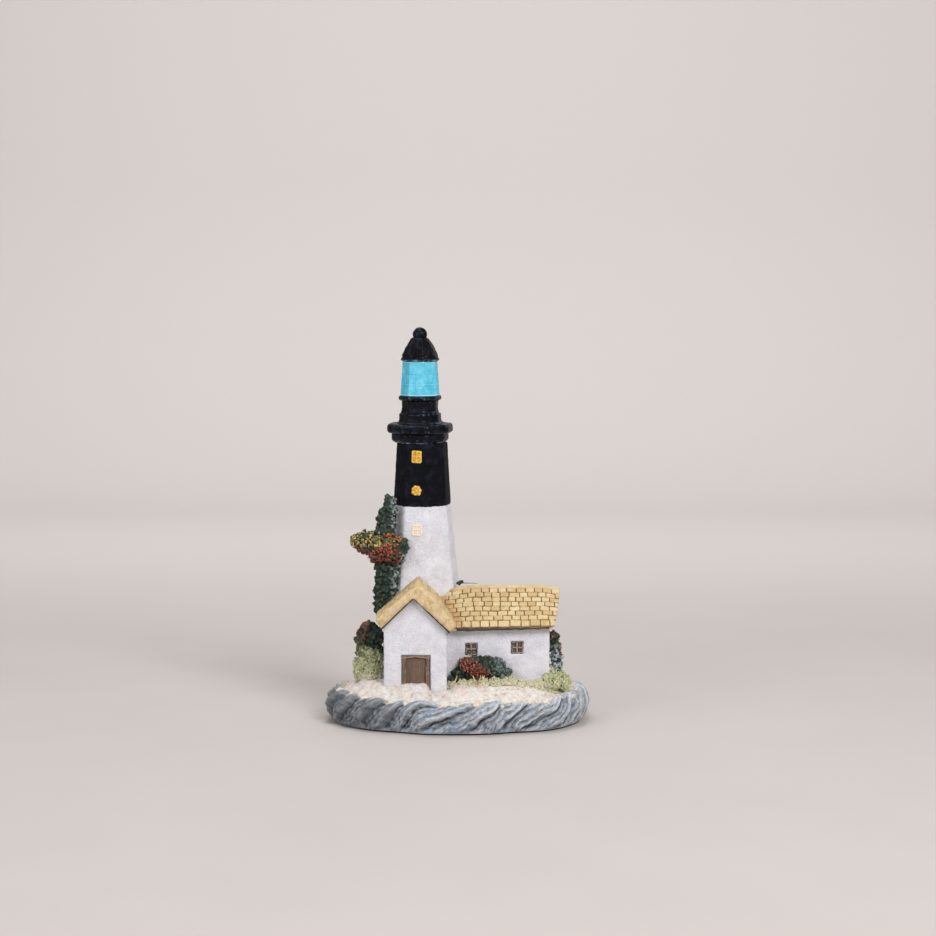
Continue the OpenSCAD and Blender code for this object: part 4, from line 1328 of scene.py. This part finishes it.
def eave_rise(x):
    """The eave climbs a little from the gable roof to the verge."""
    return -0.1 + 0.55 * np.clip((x - ROOF_RIGHT_OUTER[0]) / 28, 0, 1)


def sag(mesh):
    """Dip the wing roof's ridge at both ends and let its eave climb."""
    p = points_of(mesh)
    high = np.clip((p[:, 2] - EAVE_Z) / SLOPE_RISE, 0, 1)
    ridge = -1.15 * (1 - step_up(p[:, 0], -4, 5)) - 0.75 * step_up(p[:, 0], 24, 30)
    p[:, 2] += high * ridge + (1 - high) * eave_rise(p[:, 0])
    move_points(mesh, p)


def tile_shell(side, x0, x1, down0, down1, rng):
    """One rounded shingle, thicker at its lower edge and a little out of line."""
    middle_x, middle_d = (x0 + x1) / 2, (down0 + down1) / 2
    turn = rng.uniform(-0.06, 0.06)
    lift = rng.uniform(-0.08, 0.08)

    def place(x, down, up):
        dx, dd = x - middle_x, down - middle_d
        if up > 0:
            up = up + lift + 0.14 * (down - down0) / (down1 - down0)
        return slope_point(side, middle_x + dx - turn * dd, middle_d + dd + turn * dx, up)
    return laid((x0, down0, -0.3), (x1, down1, 0.5), 0.24, place, side < 0)


def course_start(side, down):
    """Left end of a course: the valley against the gable roof, or the tower behind it."""
    y = RIDGE_Y + side * down * math.cos(SLOPE)
    start = TOWER.x + math.sqrt(max(0, (SHOULDER_R - 0.6) ** 2 - (y - TOWER.y) ** 2)) - 0.4
    return max(start, valley_x(RIDGE_Z - down * math.sin(SLOPE)) - 0.3) if side < 0 else start


def course_cuts(row, down, start, rng):
    """Where the joints of a course stand, from the verge to its left end."""
    wide = 1.08 if row == COURSES - 1 else 0.95
    cuts = [float(verge_x(down))]
    if row % 2:
        cuts.append(cuts[0] - TILE_W / 2 * rng.uniform(0.8, 1.15))
    while cuts[-1] > start + 0.6:
        cuts.append(max(start, cuts[-1] - TILE_W * wide * rng.uniform(0.82, 1.18)))
        if cuts[-1] - start < 0.9:
            cuts[-1] = start
    return cuts


def shingle_slope(side, node, paint):
    rng = random.Random(40 + side)
    unit = (SLOPE_LEN - RIDGE_COVER) / (COURSES - 1 + EAVE_COURSE)
    edges = [RIDGE_COVER + k * unit for k in range(COURSES)] + [SLOPE_LEN]
    shells, shades = [], []
    for row in range(COURSES):
        top, bottom = edges[row] + 0.01, edges[row + 1] - 0.01
        down = (top + bottom) / 2
        cuts = course_cuts(row, down, course_start(side, down), rng)
        for x1, x0 in zip(cuts, cuts[1:]):
            gap = rng.uniform(0.07, 0.14)
            wave = rng.uniform(-0.1, 0.1)
            shells.append(tile_shell(side, x0 + gap, x1 - gap, top + wave, bottom + wave, rng))
            shades.append(rng.random())
    mesh = loose(shells, "shade", shades, grain(0.1, 1.0, 3, 121))
    p = points_of(mesh)
    up = side * (p[:, 1] - RIDGE_Y) * math.sin(SLOPE) + (p[:, 2] - RIDGE_Z) * math.cos(SLOPE)
    add_values(mesh, "relief", np.clip(0.1 + up, 0, 1))
    left = p[:, 0] - valley_x(p[:, 2]) if side < 0 else p[:, 0] + 2
    # Browner towards the left end of each course.
    add_values(mesh, "left_end_brown", (1 - step_up(left + 0.8 * rough(p, 1.6, 2, 125), 0.6, 3.6)) * 0.9)
    sag(mesh)
    add_piece(mesh, paint, "shingle_tan", node)


def ridge_tiles(paint):
    rng = random.Random(77)
    shells = []
    x, start = float(verge_x(0)), course_start(1, 0)
    while x > start + 0.4:
        x0 = max(start, x - TILE_W * rng.uniform(0.95, 1.5))
        low, high = (x0 + 0.07, -0.25, -0.1), (x - 0.07, 1.0, 0.62)
        for side in (-1, 1):
            shells.append(laid(low, high, 0.22, lambda *p: slope_point(side, *p), side < 0))
            rng.random()    # keeps the widths drawn after it the same
        x = x0
    mesh = sculpted(shells, 0.16, 2, grain(0.08, 1.2, 3, 131))
    p = points_of(mesh)
    add_values(mesh, "shade", 0.5 + 0.5 * bumps(p, (2.8, 50, 50), 7))
    # Browner at the ridge's left end, near the gable roof.
    add_values(mesh, "left_end_brown", 0.9 * (1 - step_up(p[:, 0], -4, 2)))
    sag(mesh)
    add_relief(mesh, 0.14, 10)
    add_piece(mesh, paint, "shingle_tan", "ridge_tiles")


def roof_deck(paint):
    """Deck under the shingles, dark with wash between them and tan along its edges."""
    front, back, end = DECK_LOW.y, DECK_HIGH.y, WING_HIGH.x
    lower = [(front, EAVE_Z - DECK_T), (RIDGE_Y, RIDGE_Z - DECK_T), (back, EAVE_Z - DECK_T)]
    outline = lower + [(back, EAVE_Z), (RIDGE_Y, RIDGE_Z), (front, EAVE_Z)]
    mesh = sculpted([prism_shell(outline, ROOF_RIGHT_KINK[0] + 0.2, DECK_HIGH.x, "x")], 0.26, 2)
    p = points_of(mesh)
    down = np.clip((RIDGE_Z - p[:, 2]) / math.sin(SLOPE), 0, SLOPE_LEN)
    lean = (p[:, 0] - end) / (DECK_HIGH.x - end)
    p[:, 0] = np.where(lean > 0, end + lean * (verge_x(down) - 0.12 - end), p[:, 0])
    move_points(mesh, p)
    displaced(mesh, grain(0.1, 2.0, 3, 135))
    add_relief(mesh, 0.12, 10)
    p = points_of(mesh)
    fall = np.abs(p[:, 1] - RIDGE_Y) * math.sin(SLOPE)
    up = fall + (p[:, 2] - RIDGE_Z) * math.cos(SLOPE)
    add_values(mesh, "shade", step_up(up, -0.45, -0.15) * step_up(verge_x(down) - 0.2 - p[:, 0], 0, 0.5))
    sag(mesh)
    add_piece(mesh, paint, "roof_tan", "wing_roof_deck")


# ---------------------------------------------------------------- planting, as balls of (x, y, z, radius)
VINE_FOOT = [
    (-22.2, -2.6, 32.4, 2.4), (-21.6, -3, 34.8, 3.2), (-21.2, -2.6, 38.2, 3.6), (-21, -2.2, 41.6, 3.8),
    (-20.9, -1.8, 44.8, 3.7)]
VINE_BLOOM = [
    (-19.0, -3.6, 50.2, 4.4), (-17.4, -3.4, 51.4, 3.0), (-23.2, -2.4, 50.4, 4.3), (-26.6, -1.8, 52.2, 3.6),
    (-29.2, -1.6, 52.6, 2.4), (-21.6, -2, 54.6, 3.4)]
VINE_TOP = [(-20.9, -0.8, 58, 3.2), (-20.3, -0.4, 61.2, 2.8), (-20, 0.4, 64, 1.9), (-20.6, 0.4, 65.4, 0.9)]
FRONT_BUSH = [
    (-1.6, -12, 13.4, 1.6), (0.4, -12.2, 15.2, 2.2), (2.6, -12.5, 17.4, 2.8), (5.2, -12.8, 17.4, 3.2),
    (8, -12.6, 17.6, 3.1), (11, -12.4, 17, 3.0), (13.3, -12.2, 15.2, 2.2)]
LEFT_SHRUB = [
    (-26.6, -2, 26.3, 3.0), (-28, -2.4, 23.6, 2.6), (-24.4, -3, 24.5, 3), (-27.6, -3, 20.6, 2.7),
    (-24.5, -4, 19.8, 3.0)]
RIGHT_CREEPER = [
    (27.7, -7.4, 25.2, 1.9), (28.2, -7.8, 22.4, 2.0), (28.6, -8, 19.4, 2.0), (28.8, -8.2, 16.8, 1.9)]
SPRIG = [(0.3, 0.2, 39.9, 0.65), (1.1, 0.2, 40.2, 0.55)]
LEFT_GRASS = [
    (-27.0, -4.6, 19.2, 2.8), (-24.6, -5.4, 18.8, 2.9), (-28.2, -5, 16.4, 2.8), (-24.8, -6, 15.6, 3.2),
    (-28.2, -5.2, 14, 2.8), (-25, -6.8, 13.6, 2.8)]
FRONT_GRASS = [
    (-1.6, -13, 11.6, 1.8), (1.4, -14, 12.0, 1.8), (4.2, -14.4, 12.2, 1.7), (7.4, -14.6, 12.3, 1.9),
    (10.6, -14, 12.6, 2.0), (13.4, -13.2, 13.0, 1.9), (15.6, -12.8, 12.7, 1.7), (18.2, -12.6, 12.0, 1.5),
    (20.8, -12.4, 11.8, 1.5), (23.4, -12.2, 11.9, 1.6)]
RIGHT_GRASS = [
    (27.4, -8.6, 15.2, 1.9), (28.8, -8.2, 14.2, 1.9), (30.2, -7.8, 13, 1.9), (26.2, -11, 13.2, 1.8),
    (28.2, -10.6, 12.6, 1.9), (31.4, -7, 12, 1.8), (30, -9.8, 11.6, 1.8), (30.8, -10.8, 11.2, 1.4),
    (28.2, -12, 11.5, 1.4), (26, -12.4, 11.8, 1.4)]
TINTS = ("frost", "rust", "moss")


def leaf_shell(place, out, size, rng):
    """Pointed leaf that lies along the surface with its tip lifted."""
    width, thick = size * 0.9, size * 0.66
    side = out.cross(Vector((rng.uniform(-1, 1), rng.uniform(-1, 1), rng.uniform(-1, 1)))).normalized()
    along = (side.cross(out) + out * rng.uniform(0.25, 0.95)).normalized()
    side = along.cross(out).normalized()
    face = side.cross(along).normalized()
    verts = [
        place + along * size * 0.62, place - along * size * 0.38, place + side * width / 2,
        place - side * width / 2, place + face * thick / 2, place - face * thick / 2]
    faces = [(0, 2, 4), (2, 1, 4), (1, 3, 4), (3, 0, 4), (2, 0, 5), (1, 2, 5), (3, 1, 5), (0, 3, 5)]
    shell = [tuple(v) for v in verts], faces
    inside_out = (verts[2] - verts[0]).cross(verts[4] - verts[0]).dot(face) < 0
    return turned_over(shell) if inside_out else shell


def random_direction(rng):
    z = rng.uniform(-1, 1)
    a = rng.uniform(0, 2 * math.pi)
    r = math.sqrt(1 - z * z)
    return Vector((r * math.cos(a), r * math.sin(a), z))


def lumpy_ball(centre, radius, *lumps):
    verts, faces = ball_shell(centre, radius, 12, 18)
    verts = np.array(centre) + (verts - np.array(centre)) * (1 + grain(*lumps)(verts))[:, None]
    return verts, faces


def buried(place, blobs, share):
    return any((place - Vector(b[:3])).length < share * b[3] for b in blobs)


def leafy_mass(node, blobs, paint, seed, leaf=2.0, per_mm2=0.6, voxel=0.18, lowest=0, tints=None):
    """Carved foliage: lumpy cores covered with pointed leaves, fused into one skin."""
    rng = random.Random(seed)
    shells = []
    for *centre, r in blobs:
        shells.append(lumpy_ball(centre, r * 0.88, 0.16, 2.6, 2, seed))
        for _ in range(int(4 * math.pi * r * r * per_mm2)):
            out = random_direction(rng)
            place = Vector(centre) + out * r * rng.uniform(0.82, 0.98)
            size = leaf * rng.uniform(0.5, 1.1)
            if not buried(place, blobs, 0.78) and place.z > lowest:
                shells.append(leaf_shell(place, out, size, rng))
    mesh = sculpted(shells, voxel, 3, relief=(0.34, 24))
    shares = tints(points_of(mesh)) if tints else {}
    for tint in TINTS:
        add_values(mesh, tint, shares.get(tint, 0))
    add_piece(mesh, paint, "leaf_green", node)


def blossoms(node, places, hue_of, paint, seed):
    """Small uneven dabs, most of them alone and some in clumps of two or three."""
    rng = random.Random(seed)
    shells, hues = [], []
    for place, out, size in places:
        turn = out.to_track_quat("Z", "Y")
        hue = min(1, max(0, hue_of(place) + rng.uniform(-0.22, 0.22)))
        for _ in range(rng.choice((1, 2, 2, 3))):
            a = rng.uniform(0, 2 * math.pi)
            reach = size * rng.uniform(0.1, 0.8)
            centre = place + turn @ Vector((reach * math.cos(a), reach * math.sin(a), 0))
            dab = ball_shell((0, 0, 0), size * rng.uniform(0.4, 0.8), 6, 9)
            stretch = rng.uniform(0.7, 1.3)
            shells.append(placed(dab, centre, turn, (stretch, 1 / stretch, 0.5)))
            hues.append(hue)
    mesh = loose(shells, "hue", hues, grain(0.09, 0.5, 2, seed))
    add_values(mesh, "relief", 0.6)
    add_piece(mesh, paint, "flower_paint", node)


def scattered(blobs, count, seed, facing, size, keep=None):
    """Places on the outside of the blobs whose outward direction leans towards facing."""
    rng = random.Random(seed)
    facing = Vector(facing).normalized()
    places = []
    for _ in range(6000):
        *centre, r = rng.choice(blobs)
        out = random_direction(rng)
        place = Vector(centre) + out * (r + 0.05)
        crowded = any((place - other).length < size * 1.15 for other, _, _ in places)
        if out.dot(facing) < 0.25 or buried(place, blobs, 0.98) or crowded or keep and not keep(place):
            continue
        places.append((place, out, size * rng.uniform(0.75, 1.2)))
        if len(places) == count:
            break
    return places


def grassy_mass(name, node, blobs, paint, seed, tufts, length, shade=None):
    """Low mounds stippled with short tufts of grass, fused into one skin."""
    rng = random.Random(seed)
    shells = []
    for *centre, r in blobs:
        shells.append(lumpy_ball(centre, r * 0.86, 0.22, 1.8, 3, seed))
        for _ in range(int(tufts * r * r)):
            out = random_direction(rng)
            if out.z < -0.65:
                continue
            foot = Vector(centre) + out * r * rng.uniform(0.72, 0.92)
            lean = Vector((rng.uniform(-0.5, 0.5), rng.uniform(-0.5, 0.3), 0.9)) + out * 0.7
            tip = foot + lean.normalized() * length * rng.uniform(0.5, 1.15)
            radius = rng.uniform(0.13, 0.22)
            radii = [radius, radius * 0.85, radius * 0.4]
            shells.append(rod_shell([foot, foot.lerp(tip, 0.55), tip], radii, 6))
    mesh = sculpted(shells, 0.15, 1, relief=(0.32, 22))
    p = points_of(mesh)
    add_values(mesh, "shade", shade(p) if shade else 0)
    add_values(mesh, "foot", 1 - step_up(p[:, 2] - ground_height(p[:, 0], p[:, 1]), 0.3, 2.2))
    add_piece(mesh, paint, "grass_green", node, name=name)


def frost_right(width):
    """Pale brushing on the side towards the tower."""
    return lambda p: {"frost": step_up(p[:, 0], -20.2, -20.2 + width)}


def bloom_tints(p):
    """Ochre along the top and left of the flowering part, rust below, frost at its lower right."""
    x, _, z = p.T
    upper = step_up(z - 0.3 * (x + 22), 50.5, 53)
    return {
        "frost": step_up(x, -18, -16) * step_up(-z, -51, -48), "moss": upper * step_up(-z, -55, -53.5),
        "rust": (1 - upper) * step_up(-x, 17, 18.5)}


def above_slope(x, z):
    """Height over the sloping line along which the front bush flowers."""
    return z - 19.3 + 0.75 * (x - 2)


def bush_tints(p):
    """Rust on the flowering side, a little frost on the other."""
    x, _, z = p.T
    rust = step_up(x, 0, 1.5) * step_up(-x, -10, -8) * step_up(-np.abs(above_slope(x, z)), -3, -2)
    return {"frost": 0.4 * step_up(x, 8, 12), "rust": 0.65 * rust}


def shrub_tints(p):
    """Rust-brown above on the left, moss below on the left."""
    x, _, z = p.T
    left = step_up(-x, 25.2, 27)
    return {"rust": left * step_up(z, 23, 25.5), "moss": left * step_up(-z, -24.5, -22)}


def vine_hue(place):
    ochre = 0.55 if place.x < -22.5 and place.z > 51.5 else 0
    return 0.32 + ochre + 0.03 * (place.z - 51.5)


def bush_twigs(paint):
    shells = []
    for x, lean in ((5.3, -0.7), (6.0, 0.4), (6.8, 0.6), (7.5, -0.3), (-1.0, 0.5)):
        path = [(x, -15.6, 12.4), (x + lean * 0.6, -16.2, 14.0), (x + lean * 1.5, -16.0, 15.4)]
        shells.append(rod_shell(path, [0.24, 0.2, 0.14], 7))
    mesh = sculpted(shells, 0.11, 1, relief=(0.12, 8))
    add_piece(mesh, paint, "door_frame_tan", name="bush_twigs_visual")


def ridge_twig(leaves):
    """Thin twig that runs from the sprig along the ridge."""
    path = [(0.9 + 0.7 * k, 0.1, 39.95 - 0.02 * k + 0.1 * math.sin(3 * k)) for k in range(8)]
    mesh = sculpted([rod_shell(path, [0.15 - 0.008 * k for k in range(8)], 8)], 0.1, 1)
    for tint in TINTS:
        add_values(mesh, tint, 0)
    add_piece(mesh, leaves, "leaf_green", name="ridge_twig_visual")


def planting(leaves, flowers, grass, twig):
    leafy_mass("climbing_vine_foot", VINE_FOOT, leaves, 201, tints=frost_right(1.6))
    leafy_mass("climbing_vine_bloom", VINE_BLOOM, leaves, 202, tints=bloom_tints)
    leafy_mass("climbing_vine_top", VINE_TOP, leaves, 203, tints=frost_right(1.4))
    places = scattered(VINE_BLOOM, 180, 204, (-0.25, -1, 0.15), 0.41, lambda p: p.z < 55.5 and p.x < -16.5)
    blossoms("vine_flowers", places, vine_hue, flowers, 205)
    leafy_mass("front_bush", FRONT_BUSH, leaves, 211, lowest=12.2, tints=bush_tints)
    places = scattered(FRONT_BUSH[1:6], 84, 212, (0.1, -1, 0.2), 0.4,
                       lambda p: 0.5 < p.x < 10 and abs(above_slope(p.x, p.z)) < 2.8)
    blossoms("front_bush_flowers", places, lambda p: 0.3, flowers, 213)
    bush_twigs(twig)
    leafy_mass("left_shrub", LEFT_SHRUB, leaves, 221, tints=shrub_tints)
    leafy_mass("ridge_sprig", SPRIG, leaves, 222, leaf=1.2, per_mm2=1.2, voxel=0.14)
    ridge_twig(leaves)
    leafy_mass("right_creeper", RIGHT_CREEPER, leaves, 223, leaf=1.8,
               tints=lambda p: {"frost": 1.2 * step_up(-p[:, 2], -24, -21.5)})
    places = scattered(RIGHT_CREEPER[:3], 34, 224, (0.9, -0.6, 0.1), 0.34)
    blossoms("creeper_flowers", places, lambda p: 0.25, flowers, 225)
    grassy_mass("left_grass_visual", "left_grass_mound", LEFT_GRASS, grass, 231, 50, 1.0,
                lambda p: step_up(p[:, 2], 15, 20))
    grassy_mass("front_grass_visual", "front_grass", FRONT_GRASS, grass, 232, 60, 0.85)
    grassy_mass("right_grass_visual", "right_grass_mound", RIGHT_GRASS, grass, 233, 54, 0.95)


# ---------------------------------------------------------------- stage, light and camera
def floor_paint(colour, roughness):
    """Near-plain paint with painted light: it grows paler far behind and above the ornament, where the
    lamps' light falls off.
    """
    r = Recipe("pale_floor")
    r.base(r.noise(60, 2), (0.3, *(c * 0.985 for c in colour)), (0.7, *colour))
    # Painted light: paler with height and with distance behind, making up for the lamps' falloff.
    far = r.math("MAXIMUM", r.spread(r.along("Z"), 0.5, 60), r.spread(r.along("Y"), 100, 460))
    r.over(far, tuple(c + 34 for c in colour))
    return r.finish(roughness, r.bump(r.noise(6, 2), 0.01), 0.2)


def stage():
    """Pale floor that sweeps up into a pale backdrop."""
    depth, width, bend, height = 700, 1500, 180, 1400
    turned = [math.pi / 2 * k / 12 for k in range(13)]
    curve = [(depth - bend + bend * math.sin(a), bend - bend * math.cos(a)) for a in turned]
    profile = [(-900, 0)] + curve + [(depth, height)]
    verts = [(x, y, z) for y, z in profile for x in (-width, width)]
    faces = [(2 * i, 2 * i + 1, 2 * i + 3, 2 * i + 2) for i in range(len(profile) - 1)]
    mesh = make_mesh(verts, faces)
    smooth_in_metres(mesh, floor_paint((186, 180, 177), 0.7))
    floor = link(bpy.data.objects.new("floor", mesh))


def area_light(name, place, size, power, colour):
    aim = Vector((0, 0, 50))
    data = bpy.data.lights.new(name, "AREA")
    data.shape = "DISK"
    data.size = size * MM
    data.energy = power
    data.color = colour
    lamp = link(bpy.data.objects.new(name, data))
    lamp.location = Vector(place) * MM
    lamp.rotation_euler = (aim - Vector(place)).to_track_quat("-Z", "Y").to_euler()


def lights():
    area_light("key", (420, -620, 620), 420, 6.6, (1.0, 0.985, 0.97))
    area_light("fill", (-560, -520, 320), 520, 2.2, (0.95, 0.97, 1.0))
    area_light("top", (-60, 120, 760), 520, 2.9, (1.0, 1.0, 1.0))
    world = bpy.data.worlds.new("soft_room")
    world.use_nodes = True
    sky = world.node_tree.nodes["Background"]
    sky.inputs["Color"].default_value = (0.86, 0.85, 0.85, 1)
    sky.inputs["Strength"].default_value = 0.37
    bpy.context.scene.world = world
    bpy.context.scene.view_settings.view_transform = "Standard"


def camera():
    """Long lens a little above the lantern, looking slightly down."""
    look_down = 5.56
    data = bpy.data.cameras.new("camera")
    data.sensor_width = 36
    data.lens = 84.2
    data.clip_start = 0.01
    eye = link(bpy.data.objects.new("camera", data))
    eye.location = Vector((2.9, -639, 136.2)) * MM
    eye.rotation_euler = (math.radians(90 - look_down), 0, 0)
    bpy.context.scene.camera = eye


def build_tower():
    black_gloss = black_paint("black_gloss", 0.8, 0.07, 0.24, 0.5, 0.06, (96, 116, 140))
    black_matte = black_paint("black_stucco", 0.45, 0.2, 0.32, 0.75, 0.0, (70, 74, 96))
    tower(white_stucco(BAND_Z), black_matte, black_gloss)
    lantern(lantern_paint())
    dome(black_gloss)
    ball(black_gloss)
    tower_windows()


def build_cottage(sand):
    white, shingle, window = white_stucco(), shingle_paint(), window_paint()
    trim = washed_paint("trim_brown", (28, 22, 20), (46, 36, 32), (64, 50, 45), (92, 76, 66), (54, 42, 37))
    gable_walls(white)
    wing_walls(white)
    gable_roof(roof_paint())
    gable_shingles(shingle)
    rake_trim(trim)
    eave_trim(trim)
    door_leaf(washed_paint(
        "door_brown", (48, 36, 32), (78, 60, 48), (106, 84, 68), (142, 122, 102), (88, 68, 54)))
    door_frame(washed_paint(
        "door_frame", (52, 41, 36), (88, 70, 60), (128, 105, 90), (172, 147, 128), (106, 84, 72)))
    doorstep(sand)
    wing_window("wing_window_left", window, 301)
    wing_window("wing_window_right", window, 302)
    roof_deck(deck_paint())
    shingle_slope(-1, "front_shingles", shingle)
    shingle_slope(1, "back_shingles", shingle)
    ridge_tiles(shingle)


camera()
lights()
stage()
sand = sand_paint()
felt_pad()
rock_base()
sand_ground(sand)
build_tower()
build_cottage(sand)
planting(leaf_paint(), flower_paint(), grass_paint(), washed_paint(
    "twig", (96, 72, 46), (158, 130, 92), (198, 172, 130), (226, 206, 170), (176, 148, 106)))
